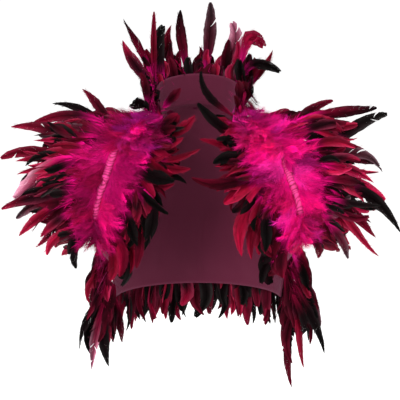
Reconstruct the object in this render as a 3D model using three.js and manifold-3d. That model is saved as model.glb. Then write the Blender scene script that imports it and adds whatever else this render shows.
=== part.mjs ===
// Feather cape: an open-fronted cloth bolero with a standing collar, trimmed with dyed cock feathers.
// Millimetres, +Z up, the front faces -Y. The origin is the middle of the neck opening, at the base of the neck
// where the cape sits.
import * as THREE from "three";
import { mergeVertices } from "three/addons/utils/BufferGeometryUtils.js";
import Module from "manifold-3d";

const wasm = await Module();
wasm.setup();

// Driving dimensions
const clothThickness = 2;
const gap = 0.4; // clear space between neighbouring pieces
const pileGap = clothThickness + 1; // where a feather pile starts above the inner face of the cloth
const neckHalfWidth = 58;
const neckRise = 14; // the back of the neck line above its sides
const shoulderHalfWidth = 166;
const shoulderDrop = 40;
const seamBack = 8; // how far the shoulder seam runs back on its way out
const collarHeight = 42;
const collarFlare = 7;
const collarEndDeg = 112; // the collar runs this far round each side from the middle of the back
const bladeThickness = 4;
const bindingWidth = 11;
const bindingHeight = 9;
const bindingLength = 290;
const ribPitch = 22;

// Colours and finishes
const finishes = {
  cloth: { color: 0x5e1232, roughness: 0.9, metalness: 0 },
  binding: { color: 0xe0489a, roughness: 0.75, metalness: 0 },
  feather: { color: 0x7a0a2a, roughness: 0.55, metalness: 0 },
};

// A table has its column names in one string. Each row becomes an object with those names.
function table(columns, rows) {
  const names = columns.split(" ");
  return rows.map((row) => Object.fromEntries(names.map((name, i) => [name, row[i]])));
}

// A smooth curve through a table's rows: gives every column at a place of the first column.
function smoothTable(rows) {
  const names = Object.keys(rows[0]);
  const places = rows.map((row) => row[names[0]]);
  const values = rows.flatMap((row) => names.map((name) => row[name]));
  const curve = new THREE.CubicInterpolant(places, values, names.length);
  return (place) => {
    const clamped = THREE.MathUtils.clamp(place, places[0], places.at(-1));
    const found = curve.evaluate(clamped);
    return Object.fromEntries(names.map((name, i) => [name, found[i]]));
  };
}

// The cloth front on the +X side, from the shoulder seam (row 0) to the side seam under the arm (row 7).
// Each row is a section from the front opening (in) to the armhole (out), with its bulge between them.
const frontSection = smoothTable(
  table("row inX inY inZ outX outY outZ bulge", [
    [0, 58, 0, 0, 166, 8, -40, 0],
    [1, 54, -24, -5, 167, -22, -44, 8],
    [2, 53, -46, -26, 167, -46, -62, 10],
    [3, 58, -66, -62, 167, -62, -98, 11],
    [4, 84, -84, -112, 167, -68, -142, 9],
    [5, 116, -80, -170, 162, -58, -182, 5],
    [6, 135, -44, -222, 154, -32, -206, 3],
    [7, 139.3, 0.7, -242, 143.8, 12.6, -206, 0],
  ]),
);

// The line of the trim on the cloth front, from the neck (0) to under the arm (1).
// row is the front's section and across is 0 at the front opening and 1 at the armhole.
const trimLine = smoothTable(
  table("at row across", [
    [0, 1.2, 0.08],
    [0.2, 1.5, 0.35],
    [0.35, 1.9, 0.6],
    [0.45, 2.4, 0.68],
    [0.6, 3, 0.75],
    [0.75, 3.8, 0.84],
    [0.85, 4.4, 0.82],
    [1, 5.7, 0.6],
  ]),
);

// The cloth back below the shoulder blades. halfWidth and depth give an ellipse at that height,
// and edge is the angle, from the middle of the back, at which the cloth ends.
const backTop = 0.35; // the share of the back that the shoulder yoke takes
const backSection = smoothTable(
  table("down z halfWidth depth edge", [
    [0, -105, 166, 100, 60],
    [0.3, -165, 154, 101, 71],
    [0.55, -218, 143, 95, 84.5],
    [0.8, -262, 137, 90, 90],
    [1, -300, 134, 88, 84],
  ]),
);

// The dense part of each shoulder trim, a fan of overlapping feathers that springs from beside the binding.
// Its far edge is given along the trim. x is outwards from the middle of the body.
const fanColumns = "at x y z";
const outerFan = smoothTable(
  table(fanColumns, [
    [0, 116, 3, -6],
    [0.1, 160, -10, 2],
    [0.22, 198, -28, -4],
    [0.38, 234, -50, -38],
    [0.53, 248, -66, -92],
    [0.68, 246, -70, -134],
    [0.83, 212, -64, -170],
    [1, 162, -46, -184],
  ]),
);
const innerFan = smoothTable(
  table(fanColumns, [
    [0.1, 50, -62, 4],
    [0.25, 40, -84, -26],
    [0.4, 36, -96, -62],
    [0.5, 44, -104, -92],
    [0.6, 62, -108, -126],
    [0.7, 80, -106, -156],
    [0.85, 106, -96, -190],
    [1, 130, -74, -210],
  ]),
);

// The longest feathers of each trim. at: place along the trim. tipX (outwards) and tipZ: where the tip is.
// bow: how far the middle arches up. lean: how far the tip is behind the root. width.
const featherColumns = "at tipX tipZ bow lean width";
const outerFeathers = {
  left: table(featherColumns, [
    [0.18, 182, 45, -12, 30, 15],
    [0.24, 228, 24, 4, 30, 13],
    [0.28, 259, -5, 20, 20, 17],
    [0.34, 292, -11, 4, 26, 19],
    [0.4, 308, -58, 6, 18, 20],
    [0.46, 268, -65, 6, 4, 18],
    [0.52, 300, -113, 22, 18, 22],
    [0.59, 306, -133, 6, 2, 19],
    [0.65, 284, -150, 8, 18, 18],
    [0.7, 281, -175, 12, 2, 16],
    [0.75, 256, -196, 8, 18, 16],
    [0.8, 236, -205, 6, 2, 16],
    [0.85, 205, -208, 8, 16, 15],
    [0.9, 192, -230, 12, 6, 12],
  ]),
  right: table(featherColumns, [
    [0.19, 212, 26, -6, 30, 15],
    [0.26, 282, 16, 8, 28, 19],
    [0.31, 248, -4, 4, 10, 17],
    [0.37, 292, 10, -14, 24, 20],
    [0.44, 290, -76, 16, 14, 18],
    [0.5, 270, -92, 14, 2, 20],
    [0.55, 292, -122, 12, 18, 22],
    [0.61, 317, -170, 28, 6, 23],
    [0.67, 280, -182, 16, 20, 18],
    [0.72, 284, -208, 14, 4, 13],
    [0.77, 240, -200, 8, 18, 16],
    [0.82, 234, -213, 18, 4, 18],
    [0.88, 190, -216, 6, 14, 14],
  ]),
};
const innerFeathers = {
  left: table(featherColumns, [
    [0.14, 3, 19, -14, -30, 18],
    [0.3, 22, -14, -6, -26, 17],
    [0.42, -6, -29, -14, -34, 12],
    [0.48, 12, -61, 4, -18, 18],
    [0.53, 35, -76, 6, -36, 23],
    [0.6, 82, -186, 42, -28, 21],
    [0.66, 96, -219, 28, -14, 19],
    [0.72, 92, -176, 16, -34, 20],
    [0.79, 122, -230, 14, -18, 20],
    [0.87, 137, -236, 10, -22, 18],
  ]),
  right: table(featherColumns, [
    [0.13, 5, 86, -10, -26, 12],
    [0.2, 3, 38, -14, -34, 16],
    [0.34, 3, -20, -6, -14, 12],
    [0.42, 21, -53, 4, -34, 21],
    [0.49, -10, -69, -14, -48, 18],
    [0.55, 61, -183, 38, -28, 22],
    [0.6, 80, -204, 30, -12, 20],
    [0.66, 102, -188, 18, -34, 18],
    [0.75, 117, -196, 10, -16, 15],
    [0.85, 133, -230, 8, -24, 18],
  ]),
};

// The feathers that hang at each side of the back. down: place down the side edge of the cloth back.
// tipX (outwards) and tipZ: where the tip hangs. bow: arch outwards. lean: how far back the tip is. width.
const sideColumns = "down tipX tipZ bow lean width";
const sideFeathers = {
  left: table(sideColumns, [
    [0.56, 178, -312, 4, -8, 12],
    [0.64, 171, -336, 4, 16, 14],
    [0.72, 186, -390, 6, -6, 17],
    [0.8, 154, -400, 5, 18, 16],
    [0.84, 175, -424, 4, -8, 17],
    [0.9, 152, -421, 8, 20, 17],
    [0.95, 128, -384, -4, 2, 16],
  ]),
  right: table(sideColumns, [
    [0.56, 182, -302, 6, -8, 14],
    [0.62, 200, -355, 6, 16, 17],
    [0.7, 198, -390, 6, -6, 16],
    [0.77, 186, -389, 5, 18, 15],
    [0.83, 177, -421, 4, -8, 17],
    [0.89, 150, -420, 9, 20, 13],
    [0.94, 152, -458, 2, 2, 20],
  ]),
};

// The dense part of the collar's feathers, by its upper edge round the neck.
const collarFan = smoothTable(
  table("round x y z", [
    [-112, -60, -42, 44],
    [-90, -81, -6, 86],
    [-60, -75, 44, 106],
    [-30, -44, 78, 102],
    [0, 0, 87, 96],
    [30, 44, 80, 102],
    [60, 75, 48, 104],
    [90, 76, -6, 80],
    [112, 58, -44, 48],
  ]),
);

// The longest feathers of the collar. round: degrees from the middle of the back, + to the +X side.
// up: place up the collar. tipX, tipY and tipZ: where the tip is. bow: how far the middle arches outwards.
// rise: how far the middle arches upwards.
const collarFeathers = table("round up tipX tipY tipZ bow rise width", [
  [-106, 0.5, -25, -56, 57, 2, 0, 15],
  [-98, 0.4, -98, -40, 23, 4, 6, 18],
  [-90, 0.5, -100, -14, 116, -8, 0, 17],
  [-80, 0.7, -118, 16, 155, -10, 0, 17],
  [-70, 0.6, -68, 30, 164, 6, 0, 13],
  [-56, 0.5, -62, 52, 138, 8, 0, 26],
  [-36, 0.6, -44, 84, 136, 6, 0, 17],
  [-14, 0.6, -28, 92, 157, 6, 0, 18],
  [10, 0.6, 20, 94, 170, 6, 0, 21],
  [32, 0.6, 55, 84, 138, 6, 0, 22],
  [52, 0.4, 104, 62, 106, 2, 40, 21],
  [66, 0.5, 118, 44, 100, 6, 0, 12],
  [80, 0.4, 126, 20, 70, 2, 32, 15],
  [92, 0.5, 66, -8, 92, 4, 0, 22],
  [106, 0.4, 62, -44, 66, 4, 0, 18],
]);

// The rows of feathers that hang down the back. down: place down the cloth back. reach: share of its width.
// lift: degrees off the cloth. splay: degrees that the outermost feathers turn outwards.
const backRows = table("name down reach count length lift splay width", [
  ["back_feathers_upper", 0.08, 0.94, 11, 170, 18, 30, 38],
  ["back_feathers_middle", 0.42, 0.84, 9, 155, 16, 14, 38],
  ["back_feathers_lower", 0.72, 0.74, 9, 150, 12, 6, 36],
]);
const backStripHeight = 0.055; // a row's tape, as a share of the back's length
const backPile = 8;
const rowRise = 6; // how far a row's feathers stand off the cloth at their middle
const rowLie = 0.2; // the stretch of the back that they lie along before they hang, as a share of its length

const { lerp, degToRad, smoothstep } = THREE.MathUtils;
const vector = (x, y, z) => new THREE.Vector3(x, y, z);

// A point on the inner face of the cloth front. side is +1 or -1.
function frontPoint(side, row, across) {
  const s = frontSection(row);
  const bulge = s.bulge * 4 * across * (1 - across);
  const width = vector(s.outX - s.inX, s.outY - s.inY, s.outZ - s.inZ);
  const later = frontSection(row + 0.05);
  const earlier = frontSection(row - 0.05);
  const along = vector(later.inX - earlier.inX, later.inY - earlier.inY, later.inZ - earlier.inZ).add(
    vector(later.outX - earlier.outX, later.outY - earlier.outY, later.outZ - earlier.outZ),
  );
  const out = width.clone().cross(along).normalize().negate();
  const point = vector(s.inX, s.inY, s.inZ).addScaledVector(width, across).addScaledVector(out, bulge);
  return point.setX(point.x * side);
}

// A point on the neck line. round is in degrees from the middle of the back.
function neckPoint(round) {
  const a = degToRad(round);
  return vector(neckHalfWidth * Math.sin(a), neckHalfWidth * Math.cos(a), neckRise * Math.cos(a));
}

// A point on the upper edge of the cloth back: the shoulder seams, with the neck line between them.
function backTopPoint(across) {
  const x = across * shoulderHalfWidth;
  if (Math.abs(x) < neckHalfWidth) {
    return neckPoint(THREE.MathUtils.radToDeg(Math.asin(x / neckHalfWidth)));
  }
  const out = (Math.abs(x) - neckHalfWidth) / (shoulderHalfWidth - neckHalfWidth);
  return vector(x, gap + seamBack * out, -shoulderDrop * out);
}

// A point on the inner face of the cloth back. across is -1 to 1, and down is 0 at the top and 1 at the hem.
function backPoint(across, down) {
  const lower = backSection((down - backTop) / (1 - backTop));
  const turn = degToRad(lower.edge * across);
  const below = vector(lower.halfWidth * Math.sin(turn), lower.depth * Math.cos(turn), lower.z);
  if (down >= backTop) return below;
  const top = backTopPoint(across);
  const t = down / backTop;
  return vector(
    lerp(top.x, below.x, t),
    lerp(top.y, below.y, Math.sin((t * Math.PI) / 2)),
    lerp(top.z, below.z, 1 - Math.cos((t * Math.PI) / 2)),
  );
}

// A point on the inner face of the standing collar. up is 0 at the neck line and 1 at the top edge.
function collarPoint(round, up) {
  const a = degToRad(round);
  const low = neckPoint(round);
  const end = smoothstep(Math.abs(round), 60, collarEndDeg);
  return vector(
    low.x + collarFlare * up * Math.sin(a),
    low.y + collarFlare * up * Math.cos(a),
    low.z + clothThickness + 2 * gap + 3 * end + (collarHeight - 14 * end) * up,
  );
}

// The outward direction of a surface at (u, v), measured from its neighbours. turn is +1 or -1.
function surfaceNormal(surface, u, v, turn) {
  const step = 0.01;
  const alongU = surface(u + step, v).sub(surface(u - step, v));
  const alongV = surface(u, v + step).sub(surface(u, v - step));
  return alongU.cross(alongV).normalize().multiplyScalar(turn);
}

// A closed solid between two offsets of a surface over uFrom..uTo and vFrom..vTo.
// low and high give the offsets along the outward direction at the shares (i, j) of the patch.
function gridSolid({ surface, turn, patch, steps, low, high }) {
  const [uSteps, vSteps] = steps;
  const corners = [];
  for (const offset of [high, low]) {
    for (let i = 0; i <= uSteps; i++) {
      for (let j = 0; j <= vSteps; j++) {
        const [u, v] = patch(i / uSteps, j / vSteps);
        const normal = surfaceNormal(surface, u, v, turn);
        corners.push(surface(u, v).addScaledVector(normal, offset(i / uSteps, j / vSteps)));
      }
    }
  }
  const layer = (uSteps + 1) * (vSteps + 1);
  const id = (k, i, j) => k * layer + i * (vSteps + 1) + j;
  const triangles = [];
  const quad = (a, b, c, d) => triangles.push(a, b, c, a, c, d);
  for (let i = 0; i < uSteps; i++) {
    for (let j = 0; j < vSteps; j++) {
      quad(id(0, i, j), id(0, i + 1, j), id(0, i + 1, j + 1), id(0, i, j + 1));
      quad(id(1, i, j), id(1, i, j + 1), id(1, i + 1, j + 1), id(1, i + 1, j));
    }
  }
  for (let i = 0; i < uSteps; i++) {
    quad(id(0, i, 0), id(1, i, 0), id(1, i + 1, 0), id(0, i + 1, 0));
    quad(id(0, i + 1, vSteps), id(1, i + 1, vSteps), id(1, i, vSteps), id(0, i, vSteps));
  }
  for (let j = 0; j < vSteps; j++) {
    quad(id(0, 0, j + 1), id(1, 0, j + 1), id(1, 0, j), id(0, 0, j));
    quad(id(0, uSteps, j), id(1, uSteps, j), id(1, uSteps, j + 1), id(0, uSteps, j + 1));
  }
  return solidFrom(corners, triangles);
}

// A closed solid through rings of corners, with flat ends. Every ring has the same number of corners.
function ringSolid(rings) {
  const sides = rings[0].length;
  const triangles = [];
  for (let i = 0; i + 1 < rings.length; i++) {
    for (let k = 0; k < sides; k++) {
      const next = (k + 1) % sides;
      const [a, b] = [i * sides + k, i * sides + next];
      triangles.push(a, b, b + sides, a, b + sides, a + sides);
    }
  }
  const last = (rings.length - 1) * sides;
  for (let k = 1; k + 1 < sides; k++) {
    triangles.push(0, k + 1, k, last, last + k, last + k + 1);
  }
  return solidFrom(rings.flat(), triangles);
}

// Corners and triangles as a manifold-3d solid with its faces pointing out.
function solidFrom(corners, triangles) {
  const flat = new THREE.BufferGeometry().setFromPoints(corners);
  flat.setIndex(triangles);
  const merged = mergeVertices(flat, 1e-3);
  const vertProperties = merged.attributes.position.array;
  const whole = [];
  for (let i = 0; i < merged.index.count; i += 3) {
    const [a, b, c] = [0, 1, 2].map((k) => merged.index.getX(i + k));
    if (a !== b && b !== c && c !== a) whole.push([a, b, c]);
  }
  const corner = (i) => new THREE.Vector3().fromArray(vertProperties, 3 * i);
  const volume = whole.reduce((sum, [a, b, c]) => sum + corner(a).dot(corner(b).cross(corner(c))), 0);
  const triVerts = new Uint32Array(whole.flatMap(([a, b, c]) => (volume > 0 ? [a, b, c] : [a, c, b])));
  return new wasm.Manifold(new wasm.Mesh({ numProp: 3, vertProperties, triVerts }));
}

// One feather lock: a thin pointed blade along an arched spine. facing is the way its flat side looks.
const bladeStations = table("s share", [
  [0, 0.5],
  [0.4, 1],
  [0.78, 0.78],
  [1, 0.05],
]);
function featherBlade({ root, tip, arch, facing, width }) {
  const middle = root.clone().lerp(tip, 0.5).addScaledVector(arch, 2);
  const spine = new THREE.QuadraticBezierCurve3(root, middle, tip);
  const rings = bladeStations.map(({ s, share }) => {
    const centre = spine.getPoint(s);
    const tangent = spine.getTangent(s);
    const across = tangent.clone().cross(facing).normalize();
    const out = across.clone().cross(tangent).normalize();
    const half = (width / 2) * share;
    const rise = (bladeThickness / 2) * Math.max(share, 0.15);
    return [
      centre.clone().addScaledVector(across, half),
      centre.clone().addScaledVector(out, rise),
      centre.clone().addScaledVector(across, -half),
      centre.clone().addScaledVector(out, -rise),
    ];
  });
  return ringSolid(rings);
}

// The arch of a feather seen from the front: square to its reach, on the upper side.
// level is +1 if it points to +X and -1 if it points to -X.
function frontArch(root, tip, level, bow) {
  const a = Math.atan2(tip.z - root.z, level * (tip.x - root.x));
  return vector(-level * bow * Math.sin(a), 0, bow * Math.cos(a));
}

const fuse = (solids) => solids.slice(1).reduce((whole, solid) => whole.add(solid), solids[0]);

// A solid as a named mesh in its finish.
function meshOf(name, solid, finish) {
  const { vertProperties, triVerts } = solid.getMesh();
  const geometry = new THREE.BufferGeometry();
  geometry.setAttribute("position", new THREE.BufferAttribute(new Float32Array(vertProperties), 3));
  geometry.setIndex(new THREE.BufferAttribute(new Uint32Array(triVerts), 1));
  geometry.computeVertexNormals();
  const mesh = new THREE.Mesh(geometry, new THREE.MeshStandardMaterial(finishes[finish]));
  mesh.name = name;
  return mesh;
}

const none = () => 0;
const overPile = () => pileGap;

// A cloth wall on a surface. With room it grows by that much on both faces, for cutting a clear space.
function clothWall(shape, room) {
  return gridSolid({ ...shape, low: () => -room, high: () => clothThickness + room });
}

// The cloth back: a yoke that turns down from the shoulder seams, and the back below it.
function backPanel(room = 0) {
  const shape = {
    surface: backPoint,
    turn: 1,
    patch: (i, j) => [(1 + room / 100) * (2 * i - 1), lerp(0.0008, 1, j)],
    steps: [16, 8],
  };
  return clothWall(shape, room);
}

// One cloth front, from the shoulder seam to the side seam.
function frontPanel(side, room = 0) {
  const shape = {
    surface: (row, across) => frontPoint(side, row, across),
    turn: side,
    patch: (i, j) => [lerp(0.006, 7, i), lerp(-room / 60, 1 + room / 60, j)],
    steps: [14, 4],
  };
  return clothWall(shape, room);
}

function collarStand(room = 0) {
  const shape = {
    surface: collarPoint,
    turn: -1,
    patch: (i, j) => [lerp(-collarEndDeg, collarEndDeg, i), j],
    steps: [20, 2],
  };
  return clothWall(shape, room);
}

// A solid with others cut out of it. Only its largest body is kept.
function cutClear(solid, others) {
  const bodies = others.reduce((left, other) => left.subtract(other), solid).decompose();
  return bodies.sort((a, b) => b.volume() - a.volume())[0];
}

// A place beside the trim's line. beside is in mm along the cloth, square to the line, + towards the armhole.
function besideTrim(side, at, beside) {
  const surface = (row, across) => frontPoint(side, row, across);
  const { row, across } = trimLine(at);
  const later = trimLine(at + 0.01);
  const earlier = trimLine(at - 0.01);
  const along = surface(later.row, later.across).sub(surface(earlier.row, earlier.across));
  const away = surfaceNormal(surface, row, across, 1).cross(along).setLength(beside);
  const downCloth = surface(row + 0.05, across).sub(surface(row - 0.05, across)).multiplyScalar(10);
  const overCloth = surface(row, across + 0.05).sub(surface(row, across - 0.05)).multiplyScalar(10);
  const skew = downCloth.dot(overCloth);
  const area = downCloth.lengthSq() * overCloth.lengthSq() - skew * skew;
  const rows = (overCloth.lengthSq() * downCloth.dot(away) - skew * overCloth.dot(away)) / area;
  const share = (downCloth.lengthSq() * overCloth.dot(away) - skew * downCloth.dot(away)) / area;
  const place = [row + rows, THREE.MathUtils.clamp(across + share, 0.02, 0.98)];
  return { point: surface(...place), normal: surfaceNormal(surface, ...place, side) };
}

// The ribbed binding that covers the roots of the two trims.
function binding(side, room = 0) {
  const steps = 2 * Math.round(bindingLength / ribPitch);
  const sides = 6;
  const rings = [];
  for (let i = 0; i <= steps; i++) {
    const at = lerp(0.1, 0.97, i / steps);
    const { point, normal } = besideTrim(side, at, 0);
    const ahead = besideTrim(side, at + 0.01, 0).point.sub(besideTrim(side, at - 0.01, 0).point);
    const across = ahead.cross(normal).normalize();
    const rib = i % 2 ? 1 : 0.84;
    const centre = point.addScaledVector(normal, pileGap + 1 + bindingHeight / 2);
    const ring = [];
    for (let k = 0; k < sides; k++) {
      const a = (2 * Math.PI * k) / sides;
      ring.push(
        centre
          .clone()
          .addScaledVector(across, ((rib * bindingWidth) / 2 + room) * Math.cos(a))
          .addScaledVector(normal, ((rib * bindingHeight) / 2 + room) * Math.sin(a)),
      );
    }
    rings.push(ring);
  }
  return ringSolid(rings);
}

// A shoulder trim: the fan that springs from one side of the binding, with its longest feathers fused to it.
// outward is +1 for the trim beside the armhole and -1 for the one beside the front opening.
const channel = bindingWidth / 2 + 1; // from the binding's middle to a fan
const fanRoot = 10; // the fan's thickness beside the binding
const fanTip = 4; // and at its far edge
const fanCamber = 12;
function shoulderTrim(side, outward, fanAt, feathers) {
  const fanPoint = (at, out) => {
    const { point, normal } = besideTrim(side, at, outward * channel);
    const edge = fanAt(at);
    const camber = vector(0, -fanCamber * 4 * out * (1 - out), 0);
    const root = point.addScaledVector(normal, pileGap);
    return root.lerp(vector(side * edge.x, edge.y, edge.z), out).add(camber);
  };
  const fan = gridSolid({
    surface: fanPoint,
    turn: side * outward,
    patch: (i, j) => [lerp(outward > 0 ? 0.01 : 0.11, 0.96, i), lerp(0.01, 1, j)],
    steps: [11, 2],
    low: none,
    high: (i, j) => lerp(fanRoot, fanTip, j),
  });
  const blades = feathers.map((feather) => {
    const { point, normal } = besideTrim(side, feather.at, outward * (channel + 6));
    const root = point.addScaledVector(normal, pileGap + fanRoot / 2);
    const tip = vector(side * feather.tipX, root.y + feather.lean, feather.tipZ);
    const arch = frontArch(root, tip, side * outward, feather.bow);
    return featherBlade({ root, tip, arch, facing: vector(0, -1, 0.15), width: feather.width });
  });
  return cutClear(fuse([fan, ...blades]), [frontPanel(side, gap), binding(side, gap)]);
}

// The feathers that hang from one side edge of the cloth back.
const sideInset = 0.06; // from the edge of the cloth to the roots, as a share of half the back
function sideTrim(side, feathers) {
  const pile = gridSolid({
    surface: backPoint,
    turn: 1,
    patch: (i, j) => [side * lerp(1 - 2 * sideInset, 0.99, i), lerp(0.62, 0.99, j)],
    steps: [2, 6],
    low: overPile,
    high: () => pileGap + backPile,
  });
  const blades = feathers.map((feather) => {
    const down = backTop + (1 - backTop) * feather.down;
    const across = side * (1 - sideInset);
    const normal = surfaceNormal(backPoint, across, down, 1);
    const root = backPoint(across, down).addScaledVector(normal, pileGap + backPile / 2);
    const tip = vector(side * feather.tipX, root.y + feather.lean, feather.tipZ);
    const arch = vector(side * feather.bow, 0, 0);
    return featherBlade({ root, tip, arch, facing: vector(side * 0.4, -1, 0), width: feather.width });
  });
  return cutClear(fuse([pile, ...blades]), [backPanel(gap)]);
}

// The feathers of the collar: the fan that stands round its outside, with its longest feathers fused to it.
function collarTrim() {
  const fanPoint = (round, up) => {
    const normal = surfaceNormal(collarPoint, round, 0.04, -1);
    const edge = collarFan(round);
    const root = collarPoint(round, 0.04).addScaledVector(normal, pileGap);
    return root.lerp(vector(edge.x, edge.y, edge.z), up);
  };
  const fan = gridSolid({
    surface: fanPoint,
    turn: -1,
    patch: (i, j) => [lerp(1 - collarEndDeg, collarEndDeg - 1, i), j],
    steps: [16, 2],
    low: none,
    high: (i, j) => lerp(9, fanTip, j),
  });
  const blades = collarFeathers.map(({ round, up, tipX, tipY, tipZ, bow, rise, width }) => {
    const normal = surfaceNormal(collarPoint, round, up, -1);
    const root = collarPoint(round, up).addScaledVector(normal, pileGap + 5);
    const arch = normal.clone().multiplyScalar(bow).add(vector(0, 0, rise));
    return featherBlade({ root, tip: vector(tipX, tipY, tipZ), arch, facing: normal, width });
  });
  return cutClear(fuse([fan, ...blades]), [collarStand(gap)]);
}

// One row of hanging feathers on a tape across the cloth back. They lie along the cloth, then hang down.
function backRow({ down, reach, count, length, lift, splay, width }) {
  const tape = gridSolid({
    surface: backPoint,
    turn: 1,
    patch: (i, j) => [lerp(-reach, reach, i), lerp(down, down + backStripHeight, j)],
    steps: [18, 1],
    low: overPile,
    high: () => pileGap + backPile,
  });
  const blades = [];
  for (let k = 0; k < count; k++) {
    const across = reach * 0.96 * lerp(-1, 1, k / (count - 1));
    const place = down + backStripHeight / 2;
    const normal = surfaceNormal(backPoint, across, place, 1);
    const root = backPoint(across, place).addScaledVector(normal, pileGap + backPile / 2);
    const level = normal.clone().setZ(0).normalize();
    const turn = degToRad(splay * across);
    const off = degToRad(lift);
    const fall = vector(Math.sin(turn), 0, -Math.cos(turn)).multiplyScalar(Math.cos(off));
    const over = backPoint(across, place + rowLie).sub(backPoint(across, place)).normalize();
    const half = (length / 2) * (k % 2 ? 1 : 0.9);
    const bend = root.clone().addScaledVector(over, half).addScaledVector(level, rowRise);
    const tip = bend.clone().addScaledVector(fall.addScaledVector(level, Math.sin(off)), half);
    const arch = bend.sub(root.clone().lerp(tip, 0.5)).divideScalar(2);
    blades.push(featherBlade({ root, tip, arch, facing: level, width }));
  }
  return cutClear(fuse([tape, ...blades]), [backPanel(gap)]);
}

const cape = new THREE.Group();
cape.add(meshOf("back_panel", backPanel(), "cloth"));
cape.add(meshOf("collar_stand", collarStand(), "cloth"));
cape.add(meshOf("collar_feathers", collarTrim(), "feather"));
for (const [hand, side] of [
  ["left", -1],
  ["right", 1],
]) {
  cape.add(meshOf(`front_${hand}`, frontPanel(side), "cloth"));
  cape.add(meshOf(`binding_${hand}`, binding(side), "binding"));
  const outer = shoulderTrim(side, 1, outerFan, outerFeathers[hand]);
  const inner = shoulderTrim(side, -1, innerFan, innerFeathers[hand]);
  cape.add(meshOf(`outer_feathers_${hand}`, outer, "feather"));
  cape.add(meshOf(`inner_feathers_${hand}`, inner, "feather"));
  cape.add(meshOf(`side_feathers_${hand}`, sideTrim(side, sideFeathers[hand]), "feather"));
}
for (const row of backRows) {
  cape.add(meshOf(row.name, backRow(row), "feather"));
}

export default cape;
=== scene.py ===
from functools import partial

import bpy
import numpy as np
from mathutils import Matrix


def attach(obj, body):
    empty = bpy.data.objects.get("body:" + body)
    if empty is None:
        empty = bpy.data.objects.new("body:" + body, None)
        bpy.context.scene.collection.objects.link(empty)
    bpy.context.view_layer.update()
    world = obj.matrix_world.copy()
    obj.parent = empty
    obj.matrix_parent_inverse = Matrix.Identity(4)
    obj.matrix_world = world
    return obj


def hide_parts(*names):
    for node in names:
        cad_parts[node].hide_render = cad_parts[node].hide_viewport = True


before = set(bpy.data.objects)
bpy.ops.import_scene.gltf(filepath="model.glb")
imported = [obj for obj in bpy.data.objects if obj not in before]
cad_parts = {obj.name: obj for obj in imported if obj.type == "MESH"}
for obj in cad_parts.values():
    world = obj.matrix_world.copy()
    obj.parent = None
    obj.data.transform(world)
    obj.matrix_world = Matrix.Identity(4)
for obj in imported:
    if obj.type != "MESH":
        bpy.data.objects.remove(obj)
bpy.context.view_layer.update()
print("frame loaded")

mm = 0.001  # every table below is in millimetres
hands = {"Left": -1, "Right": 1}  # as the picture shows them
scene = bpy.context.scene

# camera and lights, in metres

view = {"target": (0.0032, 0.0, -0.135), "distance": 2.6, "elevation": 14.0, "across": 0.64, "clipEnd": 60}
# place, aim, size and power
lights = {
    "keyLight": ((-1.1, -2.3, 1.5), (0, 0, -0.12), 1.2, 70),
    "fillLight": ((1.9, -1.9, 0.5), (0, 0, -0.15), 1.5, 26),
    "topLight": ((0.1, 0.3, 2.2), (0, 0, -0.1), 1.4, 30),
    "backLight": ((-0.7, 2.4, 1.0), (0, 0, -0.1), 1.3, 30),
}
surround = {"Color": (1, 1, 1, 1), "Strength": 0.26}


def addObject(name, data):
    # an object at the origin, linked to the scene
    item = bpy.data.objects.new(name, data)
    scene.collection.objects.link(item)
    return item


def makeCamera():
    # backed off from the target and raised by the elevation; the lens fits the width at the target
    data = bpy.data.cameras.new("mainCamera")
    camera = addObject("mainCamera", data)
    rise = np.radians(view["elevation"])
    x, y, z = view["target"]
    camera.location = (x, y - view["distance"] * np.cos(rise), z + view["distance"] * np.sin(rise))
    camera.rotation_euler = (np.pi / 2 - rise, 0, 0)
    data.lens = data.sensor_width * view["distance"] / view["across"]
    data.clip_end = view["clipEnd"]
    scene.camera = camera


def makeLight(name, place, aim, size, power):
    # a round lamp shines along its own -Z, so that axis is turned to the aim
    data = bpy.data.lights.new(name, "AREA")
    data.shape, data.size, data.energy = "DISK", size, power
    lamp = addObject(name, data)
    x, y, z = np.array(place, float) - np.array(aim, float)
    lamp.location = place
    lamp.rotation_euler = (np.arctan2(np.hypot(x, y), z), 0, np.arctan2(x, -y))


def makeWorld():
    # an even white surround
    world = bpy.data.worlds.new("studioWorld")
    world.use_nodes = True
    for key, value in surround.items():
        world.node_tree.nodes["Background"].inputs[key].default_value = value
    scene.world = world


makeCamera()
for lightName, light in lights.items():
    makeLight(lightName, *light)
makeWorld()
scene.view_settings.view_transform = "Standard"
print("camera and lights made")

# colours


def dyeOf(*rgb):
    # an 8-bit screen colour as a linear one
    c = np.array(rgb, float) / 255
    return np.where(c <= 0.04045, c / 12.92, ((c + 0.055) / 1.055) ** 2.4)


dyes = {
    "hot": dyeOf(255, 14, 136),
    "pink": dyeOf(255, 48, 172),
    "magenta": dyeOf(222, 14, 122),
    "violet": dyeOf(158, 22, 120),
    "crimson": dyeOf(204, 10, 84),
    "wine": dyeOf(120, 6, 44),
    "quill": dyeOf(240, 76, 150),
}

# each kind of feather: its colour in the middle of the vane, at the tip and along the margin
# the margin colour is paler partly as the feathers' own margins and partly as painted light through the thin
# barbs
tones = {
    "red": (dyeOf(112, 5, 30), dyeOf(138, 7, 40), dyeOf(158, 46, 76)),
    "crim": (dyeOf(154, 7, 50), dyeOf(152, 9, 48), dyeOf(172, 50, 88)),
    "dark": (dyeOf(52, 3, 16), dyeOf(92, 5, 28), dyeOf(92, 24, 42)),
    "dusk": (dyeOf(88, 4, 28), dyeOf(10, 4, 6), dyeOf(50, 22, 30)),
    "ember": (dyeOf(30, 4, 12), dyeOf(134, 8, 42), dyeOf(128, 40, 64)),
    # black: the grey margin colour is a painted sheen
    "black": (dyeOf(17, 5, 8), dyeOf(8, 8, 7), dyeOf(40, 36, 36)),
    "grey": (dyeOf(74, 10, 30), dyeOf(48, 32, 36), dyeOf(112, 80, 90)),
    "pale": (dyeOf(140, 16, 56), dyeOf(176, 84, 116), dyeOf(224, 168, 190)),
}

# materials: finish is the same all over, the shades are the least and the most of a factor


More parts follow.
